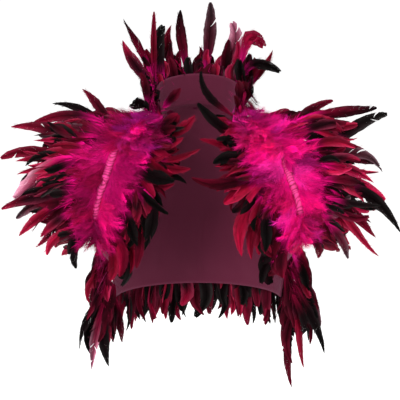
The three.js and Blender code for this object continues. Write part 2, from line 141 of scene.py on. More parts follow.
def newMaterial(name, finish):
    # a Principled material with its even values set
    mat = bpy.data.materials.new(name)
    mat.use_nodes = True
    shader = mat.node_tree.nodes["Principled BSDF"]
    for key, value in finish.items():
        shader.inputs[key].default_value = value
    return mat, mat.node_tree, shader


def addNode(tree, kind, wires=None, **values):
    # a node with its values set and its inputs wired
    node = tree.nodes.new("ShaderNode" + kind)
    for key, value in values.items():
        if key in node.inputs:
            node.inputs[key].default_value = value
        else:
            setattr(node, key, value)
    for key, source in (wires or {}).items():
        tree.links.new(source, node.inputs[key])
    return node


def ranged(tree, amount, ends):
    # the amount, 0 to 1, as a value between two ends
    span = addNode(tree, "MapRange", {"Value": amount}, **{"To Min": ends[0], "To Max": ends[1]})
    return span.outputs["Result"]


def shadeBy(tree, colour, amount, ends):
    # colour times a factor that runs between two ends with the amount
    wires = {0: colour, "Scale": ranged(tree, amount, ends)}
    return addNode(tree, "VectorMath", wires, operation="SCALE").outputs["Vector"]


def mixBy(tree, colours, amount):
    # from the first colour to the second with the amount
    mix = addNode(tree, "Mix", {"Factor": amount}, data_type="RGBA")
    mix.inputs[6].default_value = (*colours[0], 1)
    mix.inputs[7].default_value = (*colours[1], 1)
    return mix.outputs[2]


def addBump(tree, shader, height, bump):
    # the height, as a bump on the shader's normal
    node = addNode(tree, "Bump", {"Height": height}, **bump)
    tree.links.new(node.outputs["Normal"], shader.inputs["Normal"])


plumeLook = {
    "finish": {"Specular IOR Level": 0.014},
    "barbs": {"Scale": 2.6, "Distortion": 2.5, "Detail": 2.0},
    "mottle": {"Scale": 70.0, "Detail": 3.0},
    "bands": {"Scale": 1.3, "Detail": 2.0},
    "bandStretch": (0.35, 1.6, 1),
    "barbShade": (0.78, 1.16),
    "mottleShade": (0.72, 1.28),
    "bandShade": (0.1, 1.75),
    "roughness": (0.34, 0.58),
    "bump": {"Strength": 0.25, "Distance": 0.0004},
}


def plumeMaterial():
    # vane: the colour attribute with its painted light, streaked along the barbs, mottled, and banded along
    # the feather
    look = plumeLook
    mat, tree, shader = newMaterial("plume", look["finish"])
    dye = addNode(tree, "Attribute", attribute_name="dye").outputs["Color"]
    uv = addNode(tree, "UVMap", uv_map="vane").outputs["UV"]
    place = addNode(tree, "TexCoord").outputs["Object"]
    barbs = addNode(tree, "TexWave", {"Vector": uv}, **look["barbs"]).outputs["Fac"]
    mottle = addNode(tree, "TexNoise", {"Vector": place}, **look["mottle"]).outputs["Fac"]
    longer = addNode(tree, "Mapping", {"Vector": uv}, Scale=look["bandStretch"]).outputs["Vector"]
    bands = addNode(tree, "TexNoise", {"Vector": longer}, **look["bands"]).outputs["Fac"]
    colour = shadeBy(tree, dye, barbs, look["barbShade"])
    colour = shadeBy(tree, colour, mottle, look["mottleShade"])
    colour = shadeBy(tree, colour, bands, look["bandShade"])
    tree.links.new(colour, shader.inputs["Base Color"])
    tree.links.new(ranged(tree, mottle, look["roughness"]), shader.inputs["Roughness"])
    addBump(tree, shader, barbs, look["bump"])
    return mat


downLook = {
    "finish": {
        "Roughness": 0.85, "Specular IOR Level": 0.05,
        "Sheen Weight": 0.1, "Sheen Tint": (1.0, 0.12, 0.55, 1),
    },
    "mottle": {"Scale": 110.0, "Detail": 3.0},
    "mottleShade": (0.72, 1.3),
}


def downMaterial():
    # down: matte, mottled, softly lit at the edges
    look = downLook
    mat, tree, shader = newMaterial("down", look["finish"])
    dye = addNode(tree, "Attribute", attribute_name="dye").outputs["Color"]
    place = addNode(tree, "TexCoord").outputs["Object"]
    mottle = addNode(tree, "TexNoise", {"Vector": place}, **look["mottle"]).outputs["Fac"]
    tree.links.new(shadeBy(tree, dye, mottle, look["mottleShade"]), shader.inputs["Base Color"])
    return mat


clothLook = {
    "finish": {
        "Roughness": 0.82, "Specular IOR Level": 0.3,
        "Sheen Weight": 0.1, "Sheen Tint": (1.0, 0.5, 0.75, 1),
    },
    "threads": {"Scale": 3.2, "Distortion": 0.6, "Detail": 1.0},
    "slubs": {"Scale": 9.0, "Detail": 5.0},
    "colours": (dyeOf(70, 6, 34), dyeOf(96, 10, 48)),
    "weaveShade": (0.7, 1.1),
    "bump": {"Strength": 0.5, "Distance": 0.0005},
}


def clothMaterial():
    # plain weave: the higher of two sets of threads a millimetre apart, on a slubbed ground
    look = clothLook
    mat, tree, shader = newMaterial("roseCloth", look["finish"])
    uv = addNode(tree, "UVMap", uv_map="threads").outputs["UV"]
    warp, weft = (
        addNode(tree, "TexWave", {"Vector": uv}, bands_direction=way, **look["threads"]).outputs["Fac"]
        for way in ("X", "Y")
    )
    slubs = addNode(tree, "TexNoise", {"Vector": uv}, **look["slubs"]).outputs["Fac"]
    weave = addNode(tree, "Math", {0: warp, 1: weft}, operation="MAXIMUM").outputs["Value"]
    colour = shadeBy(tree, mixBy(tree, look["colours"], slubs), weave, look["weaveShade"])
    tree.links.new(colour, shader.inputs["Base Color"])
    addBump(tree, shader, weave, look["bump"])
    return mat


tapeLook = {
    "finish": {
        "Roughness": 0.5, "Specular IOR Level": 0.3,
        "Sheen Weight": 0.1, "Sheen Tint": (1.0, 0.7, 0.85, 1),
    },
    "threads": {"Scale": 5.0, "Distortion": 1.5, "Detail": 2.0},
    "threadShade": (0.84, 1.1),
    "bump": {"Strength": 0.3, "Distance": 0.0003},
}


def tapeMaterial():
    # satin: the colour attribute, with painted highlights on the ribs and painted shade in the folds, and
    # fine threads across
    look = tapeLook
    mat, tree, shader = newMaterial("satinTape", look["finish"])
    dye = addNode(tree, "Attribute", attribute_name="dye").outputs["Color"]
    uv = addNode(tree, "UVMap", uv_map="threads").outputs["UV"]
    threads = addNode(tree, "TexWave", {"Vector": uv}, **look["threads"]).outputs["Fac"]
    tree.links.new(shadeBy(tree, dye, threads, look["threadShade"]), shader.inputs["Base Color"])
    addBump(tree, shader, threads, look["bump"])
    return mat


floorLook = {
    "finish": {"Roughness": 0.9, "Emission Color": (1, 1, 1, 1), "Emission Strength": 0.8},
    "grain": {"Scale": 3.0, "Detail": 4.0},
    "colours": ((0.93, 0.93, 0.93), (0.96, 0.96, 0.96)),
}


def floorMaterial():
    # near white, lit a little from within, with a faint grain
    look = floorLook
    mat, tree, shader = newMaterial("paleFloor", look["finish"])
    place = addNode(tree, "TexCoord").outputs["Object"]
    grain = addNode(tree, "TexNoise", {"Vector": place}, **look["grain"]).outputs["Fac"]
    tree.links.new(mixBy(tree, look["colours"], grain), shader.inputs["Base Color"])
    return mat


materials = {
    "plume": plumeMaterial(),
    "down": downMaterial(),
    "cloth": clothMaterial(),
    "tape": tapeMaterial(),
    "floor": floorMaterial(),
}
print("materials made")

# the cape's surfaces


def unit(v):
    # a vector over its length
    return v / np.maximum(np.linalg.norm(v, axis=-1, keepdims=True), 1e-9)


def vec(x, y, z):
    # three numbers or arrays as rows of points
    return np.stack(np.broadcast_arrays(np.asarray(x, float), y, z), axis=-1)


def smoothstep(x, low, high):
    # 0 below low, 1 above high, three squares less two cubes between them
    t = np.clip((x - low) / (high - low), 0, 1)
    return t * t * (3 - 2 * t)


def always(value):
    # the same value at every place
    return lambda *place: value


def smoothTable(rows):
    # a cubic through the rows: the slope at a row is the mean of the slopes on both sides of it
    rows = np.asarray(rows, float)
    places, values = rows[:, 0], rows[:, 1:]
    steps = np.diff(places)
    secant = np.diff(values, axis=0) / steps[:, None]
    slope = np.vstack([secant[:1], (secant[1:] + secant[:-1]) / 2, secant[-1:]])

    def at(place):
        place = np.clip(np.asarray(place, float), places[0], places[-1])
        i = np.clip(np.searchsorted(places, place, side="right") - 1, 0, len(steps) - 1)
        h = steps[i][..., None]
        t = (place - places[i])[..., None] / h
        start = values[i] * (2 * t**3 - 3 * t**2 + 1) + h * slope[i] * (t**3 - 2 * t**2 + t)
        end = values[i + 1] * (3 * t**2 - 2 * t**3) + h * slope[i + 1] * (t**3 - t**2)
        return start + end

    return at


cloth = {
    "thickness": 2.0,
    "pileGap": 3.0,  # where the feathers start above the inner face
    "neckHalfWidth": 58.0,
    "neckRise": 14.0,
    "shoulderHalfWidth": 166.0,
    "shoulderDrop": 40.0,
    "seamBack": (0.4, 8.0),  # the seam's set-back at the neck, and how much more at the arm
    "backTop": 0.35,
    "collarFoot": 0.8,
    "collarHeight": 42.0,
    "collarFlare": 7.0,
    "collarEnd": 112.0,
    "collarEnds": {"from": 60.0, "higherFoot": 3.0, "lowerTop": 14.0},
}

# front on the +X side: row, then the front edge, then the armhole edge, then the bulge between them
frontSection = smoothTable([
    (0, 58, 0, 0, 166, 8, -40, 0),
    (1, 54, -24, -5, 167, -22, -44, 8),
    (2, 53, -46, -26, 167, -46, -62, 10),
    (3, 58, -66, -62, 167, -62, -98, 11),
    (4, 84, -84, -112, 167, -68, -142, 9),
    (5, 116, -80, -170, 162, -58, -182, 5),
    (6, 135, -44, -222, 154, -32, -206, 3),
    (7, 139.3, 0.7, -242, 143.8, 12.6, -206, 0),
])
# the trim's line: place along it, the front's row, the share across
trimLine = smoothTable([
    (0, 1.2, 0.08),
    (0.2, 1.5, 0.35),
    (0.35, 1.9, 0.6),
    (0.45, 2.4, 0.68),
    (0.6, 3, 0.75),
    (0.75, 3.8, 0.84),
    (0.85, 4.4, 0.82),
    (1, 5.7, 0.6),
])
# back below the shoulder blades: place down, height, half width, depth, edge angle
backSection = smoothTable([
    (0, -105, 166, 100, 60),
    (0.3, -165, 154, 101, 71),
    (0.55, -218, 143, 95, 84.5),
    (0.8, -262, 137, 90, 90),
    (1, -300, 134, 88, 84),
])


def frontPoint(side, row, across):
    # a straight section from the front edge to the armhole edge, raised by a parabola between them
    row, across = np.broadcast_arrays(np.asarray(row, float), across)
    s, later, earlier = frontSection(row), frontSection(row + 0.05), frontSection(row - 0.05)
    width = s[..., 3:6] - s[..., :3]
    along = (later - earlier)[..., :3] + (later - earlier)[..., 3:6]
    out = -unit(np.cross(width, along))
    a = across[..., None]
    point = s[..., :3] + width * a + out * s[..., 6:7] * 4 * a * (1 - a)
    return point * np.array([side, 1, 1])


def neckPoint(turn):
    # a level circle tilted up at the back
    a = np.radians(turn)
    r = cloth["neckHalfWidth"]
    return vec(r * np.sin(a), r * np.cos(a), cloth["neckRise"] * np.cos(a))


def backTopPoint(across):
    # the neck circle in the middle, then a straight shoulder seam to each side
    x = across * cloth["shoulderHalfWidth"]
    r = cloth["neckHalfWidth"]
    neck = neckPoint(np.degrees(np.arcsin(np.clip(x / r, -1, 1))))
    out = (np.abs(x) - r) / (cloth["shoulderHalfWidth"] - r)
    atNeck, atArm = cloth["seamBack"]
    seam = vec(x, atNeck + atArm * out, -cloth["shoulderDrop"] * out)
    return np.where((np.abs(x) < r)[..., None], neck, seam)


def backPoint(across, down):
    # an arc of an ellipse at each height; above it a quarter ellipse turns up to the seams
    across, down = np.broadcast_arrays(np.asarray(across, float), down)
    top = cloth["backTop"]
    s = backSection((down - top) / (1 - top))
    turn = np.radians(s[..., 3] * across)
    below = vec(s[..., 1] * np.sin(turn), s[..., 2] * np.cos(turn), s[..., 0])
    seam = backTopPoint(across)
    t = np.clip(down / top, 0, 1) * np.pi / 2
    share = vec(t / (np.pi / 2), np.sin(t), 1 - np.cos(t))
    return np.where((down >= top)[..., None], below, seam + (below - seam) * share)


def collarPoint(turn, up):
    # the neck circle raised straight up and flared, a little lower at its front ends
    turn, up = np.broadcast_arrays(np.asarray(turn, float), up)
    a = np.radians(turn)
    ends = cloth["collarEnds"]
    end = smoothstep(np.abs(turn), ends["from"], cloth["collarEnd"])
    flare = cloth["collarFlare"] * up
    height = cloth["collarHeight"] - ends["lowerTop"] * end
    rise = cloth["thickness"] + cloth["collarFoot"] + ends["higherFoot"] * end + height * up
    return neckPoint(turn) + vec(flare * np.sin(a), flare * np.cos(a), rise)


def normalOf(surface, u, v, turn, step=0.01):
    # square to the surface, measured between neighbouring points
    alongU = surface(u + step, v) - surface(u - step, v)
    alongV = surface(u, v + step) - surface(u, v - step)
    return unit(np.cross(alongU, alongV)) * turn


def besideTrim(side, at, beside):
    # a point on the front, moved off the trim's line along the cloth and square to the line
    surface = partial(frontPoint, side)
    row, across = np.moveaxis(trimLine(at), -1, 0)
    later, earlier = trimLine(at + 0.01), trimLine(at - 0.01)
    along = surface(later[..., 0], later[..., 1]) - surface(earlier[..., 0], earlier[..., 1])
    away = unit(np.cross(normalOf(surface, row, across, 1), along)) * np.asarray(beside)[..., None]
    downCloth = (surface(row + 0.05, across) - surface(row - 0.05, across)) * 10
    overCloth = (surface(row, across + 0.05) - surface(row, across - 0.05)) * 10
    dd, oo, do = (downCloth**2).sum(-1), (overCloth**2).sum(-1), (downCloth * overCloth).sum(-1)
    ad, ao = (downCloth * away).sum(-1), (overCloth * away).sum(-1)
    area = dd * oo - do * do
    row = row + (oo * ad - do * ao) / area
    across = np.clip(across + (dd * ao - do * ad) / area, 0.02, 0.98)
    return surface(row, across), normalOf(surface, row, across, side)


# meshes


def gridFaces(nu, nv, first=0, flip=False):
    # quads of a grid of (nu + 1) by (nv + 1) points
    i, j = np.meshgrid(np.arange(nu), np.arange(nv), indexing="ij")
    a = first + i * (nv + 1) + j
    quads = np.stack([a, a + nv + 1, a + nv + 2, a + 1], -1).reshape(-1, 4)
    return quads[:, ::-1] if flip else quads


def wallPart(outer, inner):
    # a closed wall between two grids of points with the same shape
    nu, nv = outer.shape[0] - 1, outer.shape[1] - 1
    layer = (nu + 1) * (nv + 1)
    ids = np.arange(layer).reshape(nu + 1, nv + 1)
    rim = np.concatenate([ids[:-1, 0], ids[-1, :-1], ids[:0:-1, -1], ids[0, :0:-1]])
    after = np.roll(rim, -1)
    sides = np.stack([rim, rim + layer, after + layer, after], -1)
    faces = np.vstack([gridFaces(nu, nv), gridFaces(nu, nv, layer, True), sides])
    return {"points": np.concatenate([outer.reshape(-1, 3), inner.reshape(-1, 3)]), "quads": faces}


def tubeFaces(steps, around):
    # quads round a row of rings, and a fan of triangles over each end
    i, j = np.meshgrid(np.arange(steps), np.arange(around), indexing="ij")
    a, b = i * around + j, i * around + (j + 1) % around
    quads = np.stack([a, b, b + around, a + around], -1).reshape(-1, 4)
    k = np.arange(1, around - 1)
    low, high = np.stack([0 * k, k + 1, k], -1), np.stack([0 * k, k, k + 1], -1) + steps * around
    return quads, np.vstack([low, high])


def facingOut(part):
    # turns every face round if the closed part's volume comes out negative
    p, q = part["points"], part["quads"]
    a, b, c, d = (p[q[:, k]] for k in range(4))
    volume = (a * np.cross(b, c)).sum() + (a * np.cross(c, d)).sum()
    for key in {"quads", "tris"} & set(part):
        part[key] = part[key][:, ::-1] if volume < 0 else part[key]
    return part


def makePiece(name, parts, materialNames, node):
    # joins parts into one mesh; each part has points, quads, maps, maybe tris, a colour with its painted
    # light and shade, and a material number
    points, faces, slots, dyeRows, maps = [], [], [], [], {}
    count = 0
    for part in parts:
        n = len(part["points"])
        polys = (part["quads"] + count).tolist()
        polys += (part["tris"] + count).tolist() if "tris" in part else []
        points.append(part["points"] * mm)
        faces += polys
        slots.append(np.full(len(polys), part.get("material", 0)))
        dyeRows.append(part.get("dye", np.ones((n, 3))))
        for key in part["maps"]:
            maps.setdefault(key, []).append(part["maps"][key])
        count += n
    mesh = bpy.data.meshes.new(name)
    mesh.from_pydata(np.concatenate(points), [], faces)
    mesh.polygons.foreach_set("material_index", np.concatenate(slots).astype(np.int32))
    mesh.polygons.foreach_set("use_smooth", np.ones(len(faces), bool))
    corners = np.empty(len(mesh.loops), np.int32)
    mesh.loops.foreach_get("vertex_index", corners)
    for key in sorted(maps):
        layer = mesh.uv_layers.new(name=key)
        layer.data.foreach_set("uv", np.concatenate(maps[key])[corners].astype(np.float32).ravel())
    attribute = mesh.attributes.new("dye", "FLOAT_COLOR", "POINT")
    rgba = np.column_stack([np.concatenate(dyeRows), np.ones(count)]).astype(np.float32)
    attribute.data.foreach_set("color", rgba.ravel())
    for key in materialNames:
        mesh.materials.append(materials[key])
    mesh.validate()
    mesh.update()
    piece = addObject(name, mesh)
    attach(piece, "root")
    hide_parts(node)
    print("made", name, sum(len(f) - 2 for f in faces), "triangles")
    return piece


# cloth pieces: u and v are the surface's ranges, folds run across one of them

clothPieces = {
    "backCloth": {
        "node": "back_panel", "surface": backPoint, "turn": 1, "u": (-1, 1), "v": (0.0008, 1), "folds": "u",
        "grid": (96, 64), "flat": (0.42, 0.36), "seam": np.s_[:, 0], "lap": -1.0,
    },
    "collarBand": {
        "node": "collar_stand", "surface": collarPoint, "turn": -1, "folds": "v",
        "u": (-cloth["collarEnd"], cloth["collarEnd"]), "v": (-0.16, 1),
        "grid": (96, 12), "flat": (0.27, 0.05),
    },
}
for handName, handSide in hands.items():
    clothPieces["frontCloth" + handName] = {
        "node": "front_" + handName.lower(), "surface": partial(frontPoint, handSide), "turn": handSide,
        "u": (0.006, 7), "v": (0, 1), "folds": "v",
        "grid": (70, 26), "flat": (0.125, 0.35), "seam": np.s_[-1], "lap": 1.0,
    }
hem = {"width": 7.0, "slope": 2.0, "rise": 0.7}  # a turned edge
folds = {"pitch": 9.0, "depth": 0.6, "second": 0.6, "secondPitch": 1.7, "drift": 60.0, "inFrom": (4, 40)}


def makeCloth(name):
    # the inner face follows the surface, the outer one is a thickness above it; both rise over the hem
    spec = clothPieces[name]
    surface, (nu, nv) = spec["surface"], spec["grid"]
    gu, gv = np.meshgrid(np.linspace(*spec["u"], nu + 1), np.linspace(*spec["v"], nv + 1), indexing="ij")
    base, normal = surface(gu, gv), normalOf(surface, gu, gv, spec["turn"])
    runU = np.vstack([np.zeros(nv + 1), np.linalg.norm(np.diff(base, axis=0), axis=-1).cumsum(0)])
    runV = np.linalg.norm(np.diff(base, axis=1), axis=-1).cumsum(1)
    runV = np.column_stack([np.zeros(nu + 1), runV])
    edge = np.minimum.reduce([runU, runU[-1] - runU, runV, runV[:, -1:] - runV])
    turned = hem["rise"] * (1 - smoothstep(edge, hem["width"] - hem["slope"], hem["width"]))
    wave = (runU if spec["folds"] == "u" else runV) / folds["pitch"]
    fold = np.sin(wave) + folds["second"] * np.sin(wave * folds["secondPitch"] + runV / folds["drift"])
    base = base + normal * (folds["depth"] * fold * smoothstep(edge, *folds["inFrom"]))[..., None]
    outer = base + normal * (cloth["thickness"] + turned * 0.5)[..., None]
    inner = base - normal * (turned * 0.5)[..., None]
    if "seam" in spec:  # the sewn edge is drawn up to the neighbour
        outer[spec["seam"]] += (0, spec["lap"], 0)
        inner[spec["seam"]] += (0, spec["lap"], 0)
    part = facingOut(wallPart(outer, inner))
    threads = np.stack([runU / 10, runV / 10], -1).reshape(-1, 2)
    place = np.stack([gu, gv], -1).reshape(-1, 2)
    place = (place - place.min(0)) / np.ptp(place, axis=0) * [0.98, 0.48]  # half the map for each face
    low, high = place + [0.01, 0.01], place + [0.01, 0.51]
    part["maps"] = {"threads": np.vstack([threads, threads]), "OFBake": np.vstack([low, high])}
    piece = makePiece(name, [part], ["cloth"], spec["node"])


for clothName in clothPieces:
    makeCloth(clothName)

# bindings

bindingTape = {
    "width": 12.4,
    "height": 8.8,
    "start": 0.1,
    "span": 0.87,
    "length": 290.0,
    "grid": (440, 18),
    "ribPitch": 6.4,
    "ribDepth": 0.2,
    "ribRound": 0.7,
    "ribWander": 0.3,
    "ribSize": (0.9, 1.03),
    "slant": 0.6,
    "endShare": 0.02,
    "endSize": 0.35,
    # how strong each rib's painted highlight is, then the painted highlight on the crests and the painted
    # shade in the folds
    "worn": (0.72, 1.2),
    "rib": dyeOf(238, 58, 146),
    "fold": dyeOf(158, 10, 76),
    "seed": 31,
}


def makeBinding(hand, side):
    # an ellipse carried along the trim's line; rounded ribs run round it on a slant
    spec = bindingTape
    rng = np.random.default_rng(spec["seed"] + side)
    steps, around = spec["grid"]
    share = np.linspace(0, 1, steps + 1)
    at = spec["start"] + spec["span"] * share
    point, normal = besideTrim(side, at, np.zeros_like(at))
    across = unit(np.cross(unit(np.gradient(point, axis=0)), normal))
    angle = np.linspace(0, 2 * np.pi, around, endpoint=False)
    ribs = share * spec["length"] / spec["ribPitch"]
    each = np.arange(80)
    wander = np.interp(ribs, each, rng.normal(0, spec["ribWander"], len(each)))
    slant = spec["slant"] * np.interp(ribs, each[::4], rng.normal(0.6, 0.8, len(each[::4])))
    phase = (ribs + wander)[:, None] + slant[:, None] * np.sin(angle)[None] * side
    crest = np.abs(np.sin(np.pi * phase)) ** spec["ribRound"]
    size = np.interp(ribs, each, rng.uniform(*spec["ribSize"], len(each)))[:, None]
    taper = smoothstep(share, 0, spec["endShare"]) * (1 - smoothstep(share, 1 - spec["endShare"], 1))
    full = spec["endSize"] + (1 - spec["endSize"]) * taper[:, None]
    radius = (1 - spec["ribDepth"] * (1 - crest)) * size * full
    centre = point + normal * (cloth["pileGap"] + 1 + spec["height"] / 2)
    ring = (
        centre[:, None]
        + across[:, None] * (radius * np.cos(angle) * spec["width"] / 2)[..., None]
        + normal[:, None] * (radius * np.sin(angle) * spec["height"] / 2)[..., None]
    )
    quads, caps = tubeFaces(steps, around)
    # painted highlight on each rib's crest over painted shade in the folds, stronger or weaker by chance from
    # rib to rib
    worn = np.interp(ribs, each, rng.uniform(*spec["worn"], len(each)))[:, None, None]
    dye = spec["fold"] + (spec["rib"] - spec["fold"]) * smoothstep(crest, 0.15, 0.9)[..., None] * worn
    threads = np.stack(np.broadcast_arrays(phase * 2.2, angle[None] * 1.4), -1)
    bake = np.stack(np.broadcast_arrays(share[:, None] * 0.98 + 0.01, angle[None] / 6.6 + 0.02), -1)
    part = facingOut({
        "points": ring.reshape(-1, 3),
        "quads": quads,
        "tris": caps,
        "dye": dye.reshape(-1, 3),
        "maps": {"threads": threads.reshape(-1, 2), "OFBake": bake.reshape(-1, 2)},
    })
    makePiece("binding" + hand, [part], ["tape"], "binding_" + hand.lower())


for handName, handSide in hands.items():
    makeBinding(handName, handSide)

# feathers


def forEach(f, s, *keys):
    # the feathers' values with as many axes as the places s
    lead = (slice(None),) + (None,) * (s.ndim - 1)
    return [f[key][lead] for key in keys]


def spineAt(f, s):
    # a quadratic curve root, bend, tip; an S sways it sideways and the end curls to the facing side
    root, bend, tip, curl, sway = forEach(f, s, "root", "bend", "tip", "curl", "sway")
    t = np.clip(s, 0, 1)[..., None]
    point = root * (1 - t) ** 2 + 2 * bend * t * (1 - t) + tip * t**2
    slope = 2 * (bend - root) * (1 - t) + 2 * (tip - bend) * t
    late = np.clip(t - 0.55, 0, None)
    point = point + curl * late**2 * 5 + sway * t * (1 - t) * (2 * t - 1) * 10
    slope = slope + curl * late * 10 + sway * (6 * t - 6 * t**2 - 1) * 10
    return point + slope * np.clip(s[..., None] - 1, 0, 0.06), unit(slope)


def spineFrame(f, s):
    # along, across and out at each place; the vane twists a little on its way to the tip
    facing, twist = forEach(f, s, "facing", "twist")
    point, along = spineAt(f, s)
    across = unit(np.cross(along, facing))
    out = np.cross(across, along)
    turn = (twist * s)[..., None]
    turned = across * np.cos(turn) + out * np.sin(turn)
    return point, along, turned, out * np.cos(turn) - across * np.sin(turn)


def vaneWidth(f, s):
    # narrow where the vane leaves the down, widest past its middle, then rounded or pointed
    start, width, sharp = forEach(f, s, "start", "width", "point")
    t = np.clip((s - start) / (1 - start), 0, 1)
    rise = 0.28 + 0.72 * np.sin(np.pi / 2 * np.clip(t / 0.5, 0, 1))
    return width / 2 * rise * np.clip((1 - t) / 0.48, 0, 1) ** sharp


def vaneDyeAndLight(f, s, r):
    # down colour at the root, the feather's own colour in the middle, its tip colour last
    root, mid, tip, rim = forEach(f, s, "rootDye", "midDye", "tipDye", "rimDye")
    start, tipFrom, uneven, stripe = forEach(f, s, "start", "tipFrom", "uneven", "stripe")
    t = ((s - start) / (1 - start))[..., None]
    colour = root + (mid - root) * smoothstep(t, -0.1, 0.42)
    colour = colour + (tip - colour) * smoothstep(t, tipFrom[..., None], 1.0)
    # towards the margin and the tip, the margin colour: partly the feather's own, partly painted light
    # through the thin barbs
    edge = 0.65 * np.abs(r) ** 2.6 * smoothstep(t, 0.2, 0.7)[..., 0]
    shade = 1 + uneven * np.clip(r * 3, -1, 1) - stripe * np.exp(-((r / 0.45) ** 2))
    return (colour + (rim - colour) * edge[..., None]) * shade[..., None]


# a vane's strips of barbs: gap is how wide a parting is as a share of a strip, split how often one comes
vaneShape = {
    "across": np.array([0.0, 0.5, 1.0]),
    "closer": 1.35,  # strips lie closer together towards the tip
    "barbSlant": 1.35,
    "leastHalf": 0.12,
    "split": {"pale": 0.1, "grey": 0.04},
    "usualSplit": 0.011,
    "gap": (0.4, 1.1),
    "uneven": {"line": 0.08, "reach": 0.035, "slant": 0.05, "lift": 0.12, "dye": 0.05},
    "room": 7.0,
}


def vanePart(f, clumps, rng):
    # each side of the shaft is a row of strips of barbs slanted to the tip, parted here and there
    spec, uneven = vaneShape, vaneShape["uneven"]
    n = len(f["width"])
    r = spec["across"]
    even = 1 - (1 - np.linspace(0, 1, clumps + 1)) ** spec["closer"]
    base = even[None] + rng.normal(0, uneven["line"] / clumps, (n, clumps + 1))
    base[:, 0], base[:, -1] = 0, 1
    base = f["start"][:, None] + (1 - f["start"][:, None]) * np.sort(base, axis=1)
    base = np.repeat(base[:, None], 2, axis=1)  # n, sides, lines between the strips
    rows = base.shape
    start, fray = forEach(f, base, "start", "fray")
    gap = np.where(rng.random(rows) < fray, rng.uniform(*spec["gap"], rows), 0)
    gap = gap * (1 - start) / clumps
    reach = 1 + rng.normal(0, uneven["reach"], rows)
    slope = spec["barbSlant"] * (1 + rng.normal(0, uneven["slant"], rows))
    half = np.maximum(vaneWidth(f, base), spec["leastHalf"])

    def edges(line):
        return np.stack([line[..., :-1], line[..., 1:]], -1)[..., None]  # n, sides, strips, edge, 1

    s0, wide = edges(base), edges(half)
    shape = s0.shape[:3]
    parting = edges(gap) * np.array([0.5, -0.5])[:, None] * r**1.4
    length = np.linalg.norm(f["tip"] - f["root"], axis=-1)[:, None, None, None, None]
    s = s0 + parting + edges(slope) * wide / length * r**1.15
    side = np.array([-1.0, 1.0])[None, :, None, None, None]
    point, along, across, out = spineFrame(f, s)
    lift = rng.normal(0, uneven["lift"], shape)[..., None, None] * r**2
    hollow = -forEach(f, s, "cup")[0] * wide * r**1.6 + lift
    points = point + across * (side * wide * r * edges(reach))[..., None] + out * hollow[..., None]
    signed = np.broadcast_to(side * r, s.shape)
    dye = vaneDyeAndLight(f, s, signed) * (1 + rng.normal(0, uneven["dye"], shape))[..., None, None, None]
    number = np.broadcast_to(np.arange(n)[:, None, None, None, None], s.shape)
    place = s0 * length / 10 + 31 * number  # no two feathers alike
    k = len(r)
    first = np.arange(np.prod(shape)) * 2 * k
    quads = np.stack([first[:, None] + j + np.array([0, k, k + 1, 1]) for j in range(k - 1)], 1)
    flip = np.broadcast_to(side[..., 0, 0] < 0, shape).reshape(-1)
    quads[flip] = quads[flip][..., ::-1]
    return {
        "points": points.reshape(-1, 3),
        "quads": quads.reshape(-1, 4),
        "dye": np.clip(dye, 0, 1).reshape(-1, 3),
        "maps": {"vane": np.stack([place, signed], -1).reshape(-1, 2)},
        "cell": np.stack([0.5 + 0.5 * signed, np.broadcast_to(s0, s.shape) * 0.98 + 0.01], -1).reshape(-1, 2),
        "number": number.reshape(-1),
        "room": spec["room"],
    }


shaftShape = {
    "radius": 0.55, "taper": 1.15, "ends": (0.02, 0.97), "corners": (90, 210, 330), "tone": 0.6, "room": 0.3,
}


def shaftPart(f, steps):
    # a three-sided tapering quill along each spine
    spec = shaftShape
    n, k = len(f["width"]), len(spec["corners"])
    s = np.broadcast_to(np.linspace(*spec["ends"], steps + 1), (n, steps + 1))
    point, along, across, out = spineFrame(f, s)
    angle = np.radians(spec["corners"])
    radius = (spec["radius"] * (spec["taper"] - s))[..., None, None]
    ring = across[:, :, None] * np.cos(angle)[:, None] + out[:, :, None] * np.sin(angle)[:, None]
    points = point[:, :, None] + radius * ring
    quads, caps = tubeFaces(steps, k)
    offset = (np.arange(n) * k * (steps + 1))[:, None, None]
    shade = vaneDyeAndLight(f, s, np.zeros_like(s)) * spec["tone"]
    cell = np.stack(np.broadcast_arrays(s[..., None] * 0.98, np.linspace(0.1, 0.9, k)), -1)
    return {
        "points": points.reshape(-1, 3),
        "quads": (quads[None] + offset).reshape(-1, 4),
        "tris": (caps[None] + offset).reshape(-1, 3),
        "dye": np.repeat(shade[:, :, None], k, axis=2).reshape(-1, 3),
        "maps": {"vane": np.zeros((points.size // 3, 2))},
        "cell": cell.reshape(-1, 2),
        "number": np.repeat(np.arange(n), k * (steps + 1)),
        "room": spec["room"],
    }


# a hair: three places along it, with its width and shade there, then its point; the root is painted darker,
# as shade among the hairs
hairShape = {
    "along": (0.0, 0.4, 0.75), "width": (0.7, 1.0, 0.7), "shade": (0.8, 1.0, 1.06), "pointShade": 1.1,
    "room": 0.12,
}


